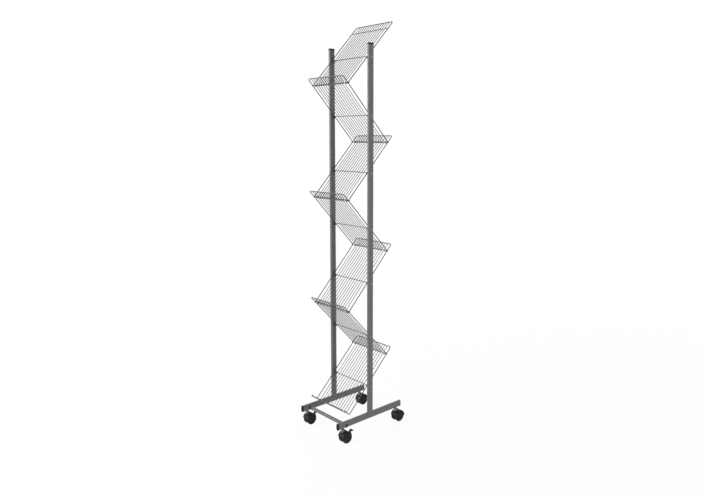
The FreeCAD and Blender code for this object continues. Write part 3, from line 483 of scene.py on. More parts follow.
def flat_oval(bm, width, depth, z=0.0):
    """A closed ring of points: a circle pulled apart along Y."""
    radius = width / 2 / math.cos(math.pi / OVAL_POINTS)
    half_step = Matrix.Rotation(math.pi / OVAL_POINTS, 4, "Z")
    ring = bmesh.ops.create_circle(bm, segments=OVAL_POINTS, radius=radius,
                                   matrix=half_step)["verts"]
    for side in (-1, 1):
        half = [vert for vert in ring if vert.co.y * side > 0]
        bmesh.ops.translate(bm, verts=half, vec=(0, side * (depth - width) / 2, 0))
    bmesh.ops.translate(bm, verts=ring, vec=(0, 0, z))
    return ring


def edges_of(verts):
    """The edges that join a ring's own points."""
    inside = set(verts)
    return list({edge for vert in verts for edge in vert.link_edges
                 if set(edge.verts) <= inside})


def stack(bm, rings):
    """Skin a pile of rings, one after another, and close both ends."""
    for lower, upper in zip(rings, rings[1:]):
        bmesh.ops.bridge_loops(bm, edges=edges_of(lower) + edges_of(upper))
    for end in (rings[0], rings[-1]):
        bmesh.ops.edgeloop_fill(bm, edges=edges_of(end))


print("a flat oval has", OVAL_POINTS, "points")

# %% [markdown]
# An upright stands on the round top of its foot, and its lower end is coped: cut to that curve, so
# that the two tubes meet without a gap. The cut could be a boolean with the foot, but lifting each
# point of the lower rim onto the foot's height does the same and leaves no stray points.

# %% Uprights
COPE_LOW = 92.0


def foot_surface(x):
    """Height of the foot's rounded top at a distance from its middle line."""
    radius = TUBE_WIDTH / 2
    return FOOT_ARC_Z + math.sqrt(max(0.0, radius ** 2 - min(abs(x), radius) ** 2))


def upright(side):
    """A tube that stands on its foot."""
    bm = bmesh.new()
    foot_ring = flat_oval(bm, TUBE_WIDTH, TUBE_DEPTH)
    for vert in foot_ring:
        vert.co.z = max(COPE_LOW, foot_surface(vert.co.x))
    stack(bm, [foot_ring, flat_oval(bm, TUBE_WIDTH, TUBE_DEPTH, POST_TOP)])
    bmesh.ops.translate(bm, verts=bm.verts, vec=(SIDES[side] * POST_X, 0, 0))
    return finish_piece(f"upright_{side}", bm, upright_paint,
                        stands_for=[f"post_{side}"])


print("the coped end rises from", COPE_LOW, "to", foot_surface(0))

# %% [markdown]
# A fillet of weld runs round the joint of upright and foot, under the same paint. A bevel of the
# joint would be too even: a welder moves on in small steps, which leaves ripples. So the fillet is
# a pile of flat ovals, each given by how far it stands out and how high it lies above the foot,
# and its points rise and fall a tenth of a millimetre.

# %% Weld fillets
FILLET = [(0.1, 2.4), (1.3, 1.5), (2.2, 0.7), (2.6, -0.2), (0.1, -0.4)]
FILLET_ACROSS, FILLET_ALONG = 0.25, 2
FILLET_RIPPLE, FILLET_STEP = 0.12, 2.1
FILLET_LOW = COPE_LOW - 1


def weld_fillet(side):
    """The bead round the joint of upright and foot, rippled by the welder's steps."""
    bm = bmesh.new()
    rings = []
    for out, lift in FILLET:
        ring = flat_oval(bm, TUBE_WIDTH + out * FILLET_ACROSS, TUBE_DEPTH + out * FILLET_ALONG)
        for number, vert in enumerate(ring):
            ripple = FILLET_RIPPLE * math.sin(number * FILLET_STEP)
            vert.co.z = max(FILLET_LOW, foot_surface(vert.co.x)) + lift + ripple
        rings.append(ring)
    stack(bm, rings)
    bmesh.ops.translate(bm, verts=bm.verts, vec=(SIDES[side] * POST_X, 0, 0))
    return finish_piece(f"upright_weld_{side}", bm, foot_paint)


print("the fillet stands out by up to", max(out for out, lift in FILLET))

# %% [markdown]
# A foot is the same tube laid down along Y, with its narrow side up. It could be an upright that
# is turned as an object, but a finished piece stays unturned. So its outline is skinned upwards
# like any other, and the mesh itself is laid down. Its sawn ends are hidden by caps.

# %% Feet
def foot(side):
    """A tube along Y."""
    bm = bmesh.new()
    stack(bm, [flat_oval(bm, TUBE_WIDTH, TUBE_DEPTH, z) for z in (-FOOT_HALF, FOOT_HALF)])
    middle = Matrix.Translation((SIDES[side] * POST_X, 0, FOOT_MIDDLE))
    bmesh.ops.transform(bm, matrix=middle @ Matrix.Rotation(QUARTER, 4, "X"), verts=bm.verts)
    return finish_piece(f"foot_tube_{side}", bm, foot_paint,
                        stands_for=[f"foot_{side}"])


print("a foot is", 2 * FOOT_HALF, "long")

# %% [markdown]
# Under each foot two round bosses are welded, which take the stems of the casters. A boss could be
# turned on a lathe, but its upper rings have to follow the round underside of the tube. So it is a
# pile of circles, each given by its radius and its drop. The low ones are level, and the high ones
# are bent onto the tube and rippled, because they are its fillet of weld.

# %% Stem bosses
BOSS_R = 6.0
BOSS_RINGS = [(5.3, -10.0), (6.0, -9.3), (6.0, -2.4), (6.5, -1.5), (7.1, -0.5), (7.3, 0.3)]
LEVEL_BELOW = -3
BOSS_POINTS = 40
BOSS_RIPPLE, BOSS_STEP = 0.1, 2.3


def stem_bosses(side):
    """The round bosses under the foot, each with its fillet of weld."""
    bm = bmesh.new()
    low_arc = FOOT_LOW + TUBE_WIDTH / 2
    for way in (-1, 1):
        rings = []
        for radius, drop in BOSS_RINGS:
            ring = bmesh.ops.create_circle(bm, segments=BOSS_POINTS, radius=radius)["verts"]
            for number, vert in enumerate(ring):
                underside = low_arc - math.sqrt((TUBE_WIDTH / 2) ** 2 - vert.co.x ** 2)
                ripple = BOSS_RIPPLE * math.sin(number * BOSS_STEP) if radius > BOSS_R else 0.0
                vert.co.z = (underside if drop > LEVEL_BELOW else FOOT_LOW) + drop + ripple
            bmesh.ops.translate(bm, verts=ring, vec=(SIDES[side] * POST_X, way * STEM_Y, 0))
            rings.append(ring)
        stack(bm, rings)
    return finish_piece(f"stem_bosses_{side}", bm, foot_paint)


print("a boss reaches", -BOSS_RINGS[0][1], "below its foot")

# %% [markdown]
# On the real rack each side is one welded frame: an upright on its foot, with the fillet between
# them and the bosses below. It could be a single mesh, but then the streaks of its coat would run
# one way only. So a loop makes the four pieces of each side, one side after the other.

# %% Both sides
for side in SIDES:
    print(side, "side:", [make(side).name for make in (upright, weld_fillet, foot, stem_bosses)])

# %% [markdown]
# Each open tube end takes a moulded cap. It stands a little proud of the tube, its rim is rounded,
# and its face is slightly domed with a shallow dish in the middle. On an upright its skirt reaches
# down over the tube. A bevel could round the rim of a plain block, but the dome and the dish would
# need more steps. The rings of the outline are piled up instead, each a bit smaller than the one
# before, which gives all of it in one go.

# %% Caps
CAP_PROUD, CAP_RIM, CAP_SOFT = 0.6, 1.2, 0.3
CAP_FACE = [(-2.2, 0.12), (-3.0, -0.3), (-4.5, -0.3)]
RIM_STEPS = 4
UPRIGHT_CAP, FOOT_CAP = 5.0, 3.0
SKIRT = 1.6


def cap(name, node, height, place, skirt=0.0):
    """A domed cap drawn upwards from a tube's end, with a skirt down over the tube."""
    bm = bmesh.new()
    steps = [(CAP_PROUD - CAP_SOFT, -skirt), (CAP_PROUD, CAP_SOFT - skirt),
             (CAP_PROUD, height - CAP_RIM)]
    for i in range(1, RIM_STEPS + 1):
        angle = i * QUARTER / RIM_STEPS
        steps.append((CAP_PROUD - CAP_RIM * (1 - math.cos(angle)),
                      height - CAP_RIM * (1 - math.sin(angle))))
    steps += [(out, height + lift) for out, lift in CAP_FACE]
    stack(bm, [flat_oval(bm, TUBE_WIDTH + 2 * out, TUBE_DEPTH + 2 * out, z) for out, z in steps])
    bmesh.ops.transform(bm, matrix=place, verts=bm.verts)
    return finish_piece(name, bm, cap_plastic, stands_for=[node])


caps = []
for side, sign in SIDES.items():
    top = Matrix.Translation((sign * POST_X, 0, POST_TOP))
    caps.append(cap(f"upright_cap_{side}", f"post_cap_{side}", UPRIGHT_CAP, top, SKIRT))
    for end, way in (("front", -1), ("rear", 1)):
        middle = Matrix.Translation((sign * POST_X, way * FOOT_HALF, FOOT_MIDDLE))
        caps.append(cap(f"foot_end_{end}_{side}", f"foot_cap_{end}_{side}", FOOT_CAP,
                        middle @ Matrix.Rotation(-way * QUARTER, 4, "X")))
print("caps:", [piece.name for piece in caps])

# %% [markdown]
# Round pieces are turned on a lathe: the bar between the feet, its washers, the screw heads and
# the wheels. Blender's Screw modifier could turn them too, but a spin in the mesh code is done at
# once. A profile of points, given as distance from the axis and height, is spun through a full
# circle. A spin that comes back to its start needs its ends merged, or a seam stays open. A
# turned piece has no sharp corners, so a second helper cuts each corner of a profile by an arc,
# which takes up less than half of the sides that it joins.

# %% The lathe
CLOSE = 1e-4
NEARLY_HALF = 1 / 2.2


def turn(bm, profile, place, steps=40):
    """Spin a profile of (radius, height) points about Z and move it to its place."""
    verts = [bm.verts.new((radius, 0, height)) for radius, height in profile]
    edges = [bm.edges.new(pair) for pair in zip(verts, verts[1:])]
    before = set(bm.verts) - set(verts)
    bmesh.ops.spin(bm, geom=verts + edges, cent=(0, 0, 0), axis=(0, 0, 1), angle=2 * math.pi,
                   steps=steps, use_merge=True, use_duplicate=False)
    made = [vert for vert in bm.verts if vert not in before]
    bmesh.ops.remove_doubles(bm, verts=made, dist=CLOSE)
    made = [vert for vert in bm.verts if vert not in before]
    bmesh.ops.transform(bm, matrix=place, verts=made)
    return made


def rounded(profile, radius, steps=3):
    """The same profile with each inner corner cut by a small arc."""
    points = [Vector(point) for point in profile]
    result = [points[0]]
    for before, corner, after in zip(points, points[1:], points[2:]):
        shorter = min((before - corner).length, (after - corner).length)
        reach = min(radius, shorter * NEARLY_HALF)
        start = corner + (before - corner).normalized() * reach
        end = corner + (after - corner).normalized() * reach
        for i in range(steps + 1):
            t = i / steps
            result.append(start.lerp(corner, t).lerp(corner.lerp(end, t), t))
    result.append(points[-1])
    return [(point.x, point.y) for point in result]


print("a square corner rounded:", [
    (round(x, 2), round(y, 2)) for x, y in rounded([(0, 0), (1, 0), (1, 1)], 0.3)])

# %% [markdown]
# The heads of the screws and bolts are low and round, with a hexagonal socket for the key. A
# socket is often cut with a boolean. Here it is built: the head is turned as an open dome, the
# rim of its flat top is joined to a hexagon, and that one to a second hexagon below it, so that
# every face lies where the tool would leave it.

# %% Screw heads
FLAT_TOP = 1.25
RIM_HEIGHT = 0.12
DOME_STEPS, HEAD_FACETS = 6, 36


def socket_head(bm, radius, crown, socket, depth, place):
    """A button head on the plane z = 0 with a hexagonal socket."""
    flat = socket * FLAT_TOP
    angles = [QUARTER * i / DOME_STEPS for i in range(DOME_STEPS + 1)]
    dome = [(flat + (radius - flat) * math.cos(angle),
             crown * (RIM_HEIGHT + (1 - RIM_HEIGHT) * math.sin(angle))) for angle in angles]
    made = turn(bm, [(radius, 0.0)] + dome, Matrix.Identity(4), steps=HEAD_FACETS)
    rim = [vert for vert in made if abs(vert.co.z - crown) < CLOSE]
    mouth, floor_of_socket = (
        bmesh.ops.create_circle(bm, segments=6, radius=socket,
                                matrix=Matrix.Translation((0, 0, z)))["verts"]
        for z in (crown, crown - depth))
    made += mouth + floor_of_socket
    bmesh.ops.bridge_loops(bm, edges=edges_of(rim) + edges_of(mouth))
    bmesh.ops.bridge_loops(bm, edges=edges_of(mouth) + edges_of(floor_of_socket))
    bmesh.ops.edgeloop_fill(bm, edges=edges_of(floor_of_socket))
    bottom = [vert for vert in made if abs(vert.co.z) < CLOSE]
    bmesh.ops.edgeloop_fill(bm, edges=edges_of(bottom))
    bmesh.ops.transform(bm, matrix=place, verts=made)


def outwards(x, y, z):
    """A placement whose Z looks away from the rack's middle along X."""
    return facing((x, y, z), (math.copysign(1, x), 0, 0))


print("a head is domed in", DOME_STEPS, "steps and has", HEAD_FACETS, "facets")

# %% [markdown]
# The crossbar is a plain round tube held between the feet by a bolt at each end. A rubber washer
# spreads the load between bar and foot, and outside the foot the head of the bolt lies on an
# oblong washer plate that stands upright. All of it could be one mesh, but rubber, black steel
# and paint are three materials, so it is three pieces.

# %% Crossbar
BAR_Y, BAR_Z = -145.0, 78.5
BAR_R, BAR_EDGE = 8.0, 0.5
WASHER_BORE_R, WASHER_R, WASHER_THICK, WASHER_EDGE = 3.0, 9.5, 2.0, 0.7
BAR_END = POST_X - TUBE_WIDTH / 2 - WASHER_THICK
PLATE_WIDTH, PLATE_HEIGHT, PLATE_THICK = 9.0, 16.5, 1.6
PLATE_RINGS = [(-0.3, 0.0), (0.0, 0.3), (0.0, PLATE_THICK - 0.5), (-0.5, PLATE_THICK)]
BOLT_HEAD = dict(radius=4.3, crown=1.9, socket=1.9, depth=1.5)


def washer_plate(bm, place):
    """An oblong plate with a rounded rim, its long side upright."""
    rings = [flat_oval(bm, PLATE_WIDTH + 2 * out, PLATE_HEIGHT + 2 * out, z)
             for out, z in PLATE_RINGS]
    stack(bm, rings)
    bmesh.ops.transform(bm, matrix=place, verts=[vert for ring in rings for vert in ring])


def crossbar():
    """The tube between the feet, with its two rubber washers and two bolts."""
    bar, washers, bolts = bmesh.new(), bmesh.new(), bmesh.new()
    tube = [(0, -BAR_END), (BAR_R, -BAR_END), (BAR_R, BAR_END), (0, BAR_END)]
    washer = [(WASHER_BORE_R, 0), (WASHER_R, 0), (WASHER_R, WASHER_THICK),
              (WASHER_BORE_R, WASHER_THICK)]
    turn(bar, rounded(tube, BAR_EDGE), facing((0, BAR_Y, BAR_Z), (1, 0, 0)))
    for sign in SIDES.values():
        turn(washers, rounded(washer, WASHER_EDGE), outwards(sign * BAR_END, BAR_Y, BAR_Z))
        washer_plate(bolts, outwards(sign * FOOT_FACE, BAR_Y, BAR_Z))
        socket_head(bolts, **BOLT_HEAD,
                    place=outwards(sign * (FOOT_FACE + PLATE_THICK), BAR_Y, BAR_Z))
    return (finish_piece("crossbar_tube", bar, bar_paint, stands_for=["crossbar"]),
            finish_piece("bar_washers", washers, rubber,
                         stands_for=["crossbar_washers"]),
            finish_piece("bar_bolts", bolts, black_steel,
                         stands_for=["crossbar_bolts"]))


print("crossbar:", [piece.name for piece in crossbar()])

# %% [markdown]
# The grilles hang on fourteen screws through the uprights, of which only the heads show. Each
# head could be a piece of its own, but they never move apart, so they are one mesh: the same
# drawing as the bolts of the bar, with other sizes, at the height of each grille's fixing.

# %% Grille screws
SCREW_HEAD = dict(radius=4.25, crown=2.6, socket=1.5, depth=1.2)


def grille_screws():
    """A low round head at each fixing, on the outer face of the upright."""
    bm = bmesh.new()
    for number in RISE:
        for sign in SIDES.values():
            socket_head(bm, **SCREW_HEAD,
                        place=outwards(sign * FOOT_FACE, 0, fixing_height(number)))
    return finish_piece("fixing_screws", bm, zinc, stands_for=["grille_screws"])


print("screws:", grille_screws().name, "at heights",
      [round(fixing_height(number), 1) for number in RISE])

# %% [markdown]
# Each screw bites into a small moulded saddle that lies against the upright, under the middle
# cross wire. A saddle could be drawn round the wire in detail, but only a dark block shows between
# the wires. So it is a block with rounded edges that lies along its grille and reaches just past
# the screw.

# %% Saddles
SADDLE_LENGTH, SADDLE_WIDTH, SADDLE_ROUND = 13.0, 11.0, 1.1
SADDLE_GAP = 0.1
SADDLE_TOP = -INNER_R - SADDLE_GAP
UNDER_SCREW = 4.0


def saddles():
    """A block under each middle cross wire, against the upright."""
    bm = bmesh.new()
    across = POST_X - TUBE_WIDTH / 2 - SADDLE_LENGTH / 2
    for number in RISE:
        low = -FIXING_DROP * math.cos(lean(number)) - UNDER_SCREW
        size = Matrix.Diagonal((SADDLE_LENGTH, SADDLE_WIDTH, SADDLE_TOP - low, 1))
        for sign in SIDES.values():
            middle = (sign * across, -fixing_along(number), (SADDLE_TOP + low) / 2)
            place = grille_frame(number) @ Matrix.Translation(middle) @ size
            block = bmesh.ops.create_cube(bm, size=1, matrix=place)["verts"]
            bmesh.ops.bevel(bm, geom=edges_of(block), offset=SADDLE_ROUND, segments=3,
                            profile=0.5, affect="EDGES", material=-1)
    return finish_piece("wire_saddles", bm, saddle_plastic,
                        stands_for=["grille_saddles"])


print("saddles:", len(saddles().data.polygons), "faces")

# %% [markdown]
# Where two grilles meet, two clips of sheet steel hold the foot of the upper one against the
# cross wire of the lower one. A clip could be a strip bent round both wires, but only its outside
# shows. So its outline is a circle with one half moved from the first wire to the second, where it
# is a little larger, and four such rings are piled up along the wires.

# %% Junction clips
CLIP_HALF, CLIP_SOFT, CLIP_GAP = 5.0, 0.5, 0.3
CLIP_X = OUTER_WIRE_X + INNER_R + CLIP_GAP + CLIP_HALF
CLIP_SMALL_R, CLIP_BIG_R = 3.25, 3.75
CLIP_POINTS = 24
CLIP_RINGS = [(-CLIP_HALF, CLIP_SOFT), (CLIP_SOFT - CLIP_HALF, 0.0),
              (CLIP_HALF - CLIP_SOFT, 0.0), (CLIP_HALF, CLIP_SOFT)]


def clip(bm, number, x):
    """A band round two wires: two round ends joined, drawn across X."""
    fold = lean(number) + lean(number + 1)
    other = Vector((0, -STAND_OFF * math.cos(fold) + EDGE_Z * math.sin(fold),
                    STAND_OFF * math.sin(fold) + EDGE_Z * math.cos(fold) - CROSS_Z))
    aim = Matrix.Rotation(math.atan2(other.z, other.y), 3, "X")
    rings = []
    for end, inset in CLIP_RINGS:
        ring = bmesh.ops.create_circle(bm, segments=CLIP_POINTS, radius=1.0)["verts"]
        for vert in ring:
            far = vert.co.x > 0
            radius = (CLIP_BIG_R if far else CLIP_SMALL_R) - inset
            shift = other.length if far else 0
            vert.co = Vector((end, vert.co.x * radius + shift, vert.co.y * radius))
        bmesh.ops.rotate(bm, verts=ring, cent=(0, 0, 0), matrix=aim)
        bmesh.ops.translate(bm, verts=ring, vec=(x, 0, CROSS_Z))
        rings.append(ring)
    stack(bm, rings)
    made = [vert for ring in rings for vert in ring]
    bmesh.ops.transform(bm, matrix=grille_frame(number + 1), verts=made)


def junction_clips():
    """Two clips at each junction."""
    bm = bmesh.new()
    for number in range(1, GRILLES):
        for sign in SIDES.values():
            clip(bm, number, sign * CLIP_X)
    return finish_piece("grille_clips", bm, zinc, stands_for=["junction_clips"])


print("clips:", len(junction_clips().data.polygons), "faces")

# %% [markdown]
# A twin-wheel caster is a moulded hood that swivels on a steel stem, with a wheel on each side
# of its web. The front two carry a brake pedal. One caster could be drawn and copied, but hood,
# wheels, stem and pedal each move with a body of their own. So each is drawn with the stem on the
# Z axis and the wheels trailing behind, towards +Y, and then moved under its foot.

# %% Caster measures
TRAIL, AXLE_Z = 16.0, 25.0
WHEEL_FACE, WHEEL_WIDTH, WHEEL_R = 7.0, 11.0, 25.0
HOOD_HALF = WHEEL_FACE + WHEEL_WIDTH
MOULDED_EDGE = 0.8
CASTERS = {f"{end}_{side}": (sign * POST_X, way * STEM_Y)
           for end, way in (("front", -1), ("rear", 1)) for side, sign in SIDES.items()}
BRAKED = ("front_left", "front_right")
print("casters:", CASTERS)

# %% [markdown]
# A wheel is moulded with a rounded tread, a dished face and a hub cap over the end of the axle.
# It is as round as a piece can be, so the lathe turns it: the profile runs from the bore, out
# along the inner face, over the tread, and back across the dish to the middle of the hub cap.

# %% Wheels
WHEEL_PROFILE = [
    (3.05, 0), (23.0, 0), (WHEEL_R, 1.6), (WHEEL_R, WHEEL_WIDTH - 2.4), (22.9, WHEEL_WIDTH),
    (19.6, WHEEL_WIDTH), (18.4, WHEEL_WIDTH - 1.8), (9.4, WHEEL_WIDTH - 2.2),
    (8.2, WHEEL_WIDTH - 0.6), (5.2, WHEEL_WIDTH), (0, WHEEL_WIDTH)]
WHEEL_EDGE, WHEEL_FACETS = 1.0, 64


def wheel(name, side, x, y):
    """A wheel turned about its axle, on one side of the hood's web."""
    bm = bmesh.new()
    sign = SIDES[side]
    place = facing((x + sign * WHEEL_FACE, y + TRAIL, AXLE_Z), (sign, 0, 0))
    turn(bm, rounded(WHEEL_PROFILE, WHEEL_EDGE), place, steps=WHEEL_FACETS)
    return finish_piece(f"wheel_{name}_{side}", bm, wheel_plastic,
                        body=f"wheel_{name}_{side}",
                        stands_for=[f"caster_wheel_{name}_{side}"])


wheels = [wheel(name, side, x, y) for name, (x, y) in CASTERS.items() for side in SIDES]
print("wheels:", [piece.name for piece in wheels])

# %% [markdown]
# Two pieces of a caster are curved round its axle: the fender of the hood and the shoe of the
# brake. Each could be a full ring with the rest cut away, but a spin can also stop half way. An
# outline is closed with a face, swept about the axle from angle to angle, counted from +Y, and
# closed again. Most outlines are a rectangle across the caster, between two radii.

# %% Sweeps about the axle
def arc_band(bm, outline, start, end, steps):
    """Sweep an outline of (x, radius) points about the wheels' axle, from angle to angle."""
    start, end = math.radians(start), math.radians(end)
    verts = [bm.verts.new((x, radius * math.cos(start) + TRAIL,
                           radius * math.sin(start) + AXLE_Z)) for x, radius in outline]
    edges = [bm.edges.new(pair) for pair in zip(verts, verts[1:] + verts[:1])]
    bmesh.ops.edgeloop_fill(bm, edges=edges)
    spun = bmesh.ops.spin(bm, geom=edges, cent=(0, TRAIL, AXLE_Z), axis=(1, 0, 0),
                          angle=end - start, steps=steps, use_merge=False, use_duplicate=False)
    bmesh.ops.edgeloop_fill(bm, edges=of_kind(spun["geom_last"], bmesh.types.BMEdge))


def box_outline(half, low, high):
    """A rectangle across the caster: half as wide to each side, between two radii."""
    return [(-half, low), (-half, high), (half, high), (half, low)]


print("a rectangle as wide as the caster:", box_outline(HOOD_HALF, 0, WHEEL_R))

# %% [markdown]
# The hood is one moulding: a fender over both wheels, a web between them that holds the axle, and
# a boss for the stem. Where a pedal is to pass, the fender ends early. The hood could be carved
# from a block, but each of its forms is a sweep or a turning. Fender and web are swept about the
# axle, and the web's disc and the boss are turned. What hangs low below the axle is cut off level
# before the boss is added.

# %% Caster hoods
ARCH_R, HOOD_R = 26.2, 28.5
WEB_HALF, WEB_BORE_R, WEB_DISC_R, WEB_LOW = 6.5, 2.0, 23, 18
INTO_FENDER = 0.5
FENDER_FROM, BRAKED_FROM, FENDER_TO = -10, 75, 165
FENDER_STEPS, DISC_FACETS = 36, 48
BOSS_PROFILE = [(0, 18.2), (WEB_HALF, 18.2), (WEB_HALF, 52.5), (4.6, 52.5), (4.6, 51.5),
                (0, 51.5)]


def hood(name, x, y):
    """The moulded hood: a fender over both wheels, a web between them and a boss."""
    bm = bmesh.new()
    start = BRAKED_FROM if name in BRAKED else FENDER_FROM
    fender = rounded(box_outline(HOOD_HALF, ARCH_R, HOOD_R), MOULDED_EDGE)
    web = box_outline(WEB_HALF, WEB_BORE_R, ARCH_R + INTO_FENDER)
    for outline in (fender, web):
        arc_band(bm, outline, start, FENDER_TO, FENDER_STEPS)
    disc = [(0, -WEB_HALF), (WEB_DISC_R, -WEB_HALF), (WEB_DISC_R, WEB_HALF), (0, WEB_HALF)]
    turn(bm, rounded(disc, MOULDED_EDGE), facing((0, TRAIL, AXLE_Z), (1, 0, 0)),
         steps=DISC_FACETS)
    cut = bmesh.ops.bisect_plane(bm, geom=bm.verts[:] + bm.edges[:] + bm.faces[:],
                                 plane_co=(0, 0, WEB_LOW), plane_no=(0, 0, 1),
                                 clear_inner=True)
    bmesh.ops.holes_fill(bm, edges=of_kind(cut["geom_cut"], bmesh.types.BMEdge), sides=0)
    turn(bm, rounded(BOSS_PROFILE, MOULDED_EDGE), Matrix.Identity(4))
    bmesh.ops.translate(bm, verts=bm.verts, vec=(x, y, 0))
    return finish_piece(f"hood_{name}", bm, caster_plastic,
                        body=f"caster_{name}", stands_for=[f"caster_hood_{name}"])


hoods = [hood(name, x, y) for name, (x, y) in CASTERS.items()]
print("hoods:", [len(piece.data.polygons) for piece in hoods], "faces")

# %% [markdown]
# The stem is the steel bolt that the hood turns on. Between hood and boss it has a hexagonal
# collar for the spanner, and below that a pin into the hood. A screw modifier could add a thread,
# but the thread is inside the foot. The collar is a pile of hexagons, with its corners drawn in at
# the top and bottom, as the turned edge of a real nut is.

# %% Stems
COLLAR_FLATS = 13.0
COLLAR_R = COLLAR_FLATS / math.cos(math.radians(30)) / 2
COLLAR_RINGS = [(COLLAR_R - 0.9, 52.8), (COLLAR_R, 53.4), (COLLAR_R, 57.4),
                (COLLAR_R - 0.6, 57.95)]
STEM_PROFILE = [(0, 48.0), (4.0, 48.0), (4.0, 53.5), (0, 53.5)]
STEM_EDGE, STEM_FACETS = 0.3, 24


def stem(name, x, y):
    """The steel stem: a hexagonal collar between the hood and the boss of the foot."""
    bm = bmesh.new()
    stack(bm, [bmesh.ops.create_circle(bm, segments=6, radius=radius,
                                       matrix=Matrix.Translation((0, 0, z)))["verts"]
               for radius, z in COLLAR_RINGS])
    turn(bm, rounded(STEM_PROFILE, STEM_EDGE), Matrix.Identity(4), steps=STEM_FACETS)
    bmesh.ops.translate(bm, verts=bm.verts, vec=(x, y, 0))
    return finish_piece(f"stem_{name}", bm, zinc, stands_for=[f"caster_stem_{name}"])


stems = [stem(name, x, y) for name, (x, y) in CASTERS.items()]
print("stems:", [piece.name for piece in stems])

# %% [markdown]
# The tail of a brake pedal is what a boot steps on: a flat bar, narrow where it leaves the shoe,
# bent over and broad at its end. A curve with a bevel would have one section all along. So the
# tail is a pile of rounded rectangles, each with its own place, heading and size: a circle whose x
# and y are raised to a power below one grows corners.

# %% The pedal's tail
TAIL_CORNER, TAIL_POINTS = 0.4, 24
# the tail's stations: place along Y, height, heading in degrees, width and thickness
TAIL = [(39.4, 36.4, 66, 10.0, 3.6), (41.4, 39.2, 62, 10.0, 3.8), (43.4, 41.8, 58, 10.6, 4.2),
        (44.9, 43.7, 50, 12.0, 4.8), (46.6, 45.2, 28, 13.8, 5.4), (48.8, 45.9, 2, 15.0, 5.8),
        (51.2, 45.7, -12, 15.4, 6.0), (53.6, 45.0, -20, 15.4, 6.0), (55.8, 44.0, -28, 15.4, 5.4),
        (57.0, 43.3, -32, 14.2, 3.8)]


def cornered(value, size):
    """A circle's x or y turned into that of a rounded rectangle of a size."""
    return math.copysign(abs(value) ** TAIL_CORNER, value) * size / 2


def pedal_tail(bm):
    """The tail: a flat bar, bent over and broader at its end."""
    rings = []
    for y, z, heading, width, thickness in TAIL:
        ring = bmesh.ops.create_circle(bm, segments=TAIL_POINTS, radius=1.0)["verts"]
        for vert in ring:
            vert.co.x, vert.co.y = cornered(vert.co.x, width), cornered(vert.co.y, thickness)
        tilt = Matrix.Rotation(math.radians(heading) - QUARTER, 4, "X")
        bmesh.ops.transform(bm, matrix=Matrix.Translation((0, y, z)) @ tilt, verts=ring)
        rings.append(ring)
    stack(bm, rings)


print("the tail has", len(TAIL), "stations and ends", TAIL[-1][0], "behind the stem")

# %% [markdown]
# The brake pedal is a lever on a pin in the hood. Its shoe is curved like the wheels and is
# pressed onto both of them when the tail is stepped on. The pedal could be drawn as one skin, but
# a moulding reads the same when its forms sink into each other: the shoe is swept, the lug on the
# pin is turned, and a neck joins the two.

# %% Brake pedals
SHOE_R, SHOE_WALL, SHOE_HALF = 27.0, 3.2, 9.5
SHOE_FROM, SHOE_TO, SHOE_STEPS = 5, 30, 10
PIN_ANGLE, PIN_REACH = math.radians(25), 16
PIN = Vector((0, TRAIL + PIN_REACH * math.cos(PIN_ANGLE),
              AXLE_Z + PIN_REACH * math.sin(PIN_ANGLE)))
LUG_PROFILE = [(2.05, -4.0), (4.5, -4.0), (4.5, 4.0), (2.05, 4.0)]
LUG_EDGE, LUG_FACETS = 0.4, 32
NECK_REACH, NECK_SIZE = 7.7, (8.0, 8.0, 7.0, 1)


def brake_pedal(name, x, y):
    """The pedal: a curved shoe behind the wheels, a tail to step on and a lug on the pin."""
    bm = bmesh.new()
    shoe = rounded(box_outline(SHOE_HALF, SHOE_R, SHOE_R + SHOE_WALL), MOULDED_EDGE)
    arc_band(bm, shoe, SHOE_FROM, SHOE_TO, SHOE_STEPS)
    pedal_tail(bm)
    turn(bm, rounded(LUG_PROFILE, LUG_EDGE), facing(PIN, (1, 0, 0)), steps=LUG_FACETS)
    neck = Matrix.Translation(PIN) @ Matrix.Rotation(PIN_ANGLE, 4, "X")
    neck @= Matrix.Translation((0, NECK_REACH, 0)) @ Matrix.Diagonal(NECK_SIZE)
    bmesh.ops.create_cube(bm, size=1, matrix=neck)
    bmesh.ops.translate(bm, verts=bm.verts, vec=(x, y, 0))
    return finish_piece(f"pedal_{name}", bm, caster_plastic,
                        body=f"pedal_{name}", stands_for=[f"brake_pedal_{name}"])


pedals = [brake_pedal(name, *CASTERS[name]) for name in BRAKED]
print("pedals:", [piece.name for piece in pedals])

# %% [markdown]
# A few pieces are out of sight inside the tubes and the wheels: plugs, bushes, axles and pins.
# They could be remade like the others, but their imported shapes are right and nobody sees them. So
# they stay, and only take the finish of the steel or plastic that they are made of.

# %% Finishes for the hidden pieces
KEPT = {"crossbar_plugs": zinc, "stem_bushes": cap_plastic, "caster_axle": zinc,
        "brake_pin": zinc}
for node_name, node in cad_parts.items():
    for start, finish in KEPT.items():
        if node_name.startswith(start):
            node.data.materials.clear()
            node.data.materials.append(finish)
            print("finish", finish.name, "on", node_name)

# %% [markdown]
# The set is a white studio with no corner between floor and wall. It could be a curved sheet
# under very strong lamps, but those would wash out the rack. Instead floor and sky depend on the
# ray that meets them: one from the camera, off a shiny surface or through glass finds white, and
# one that carries light finds a dimmer surface. One helper tells the two kinds of ray apart, and
# another one mixes the white with the lit surface.

# %% White that is only seen
def seen_ray(tree):
    """One for a ray from the camera, off a shiny surface or through glass, else nought."""
    path = tree.nodes.new("ShaderNodeLightPath")
    ray = path.outputs["Is Camera Ray"]
    for kind in ("Is Glossy Ray", "Is Transmission Ray"):
        ray = joined(tree, "MAXIMUM", ray, path.outputs[kind])
    return ray


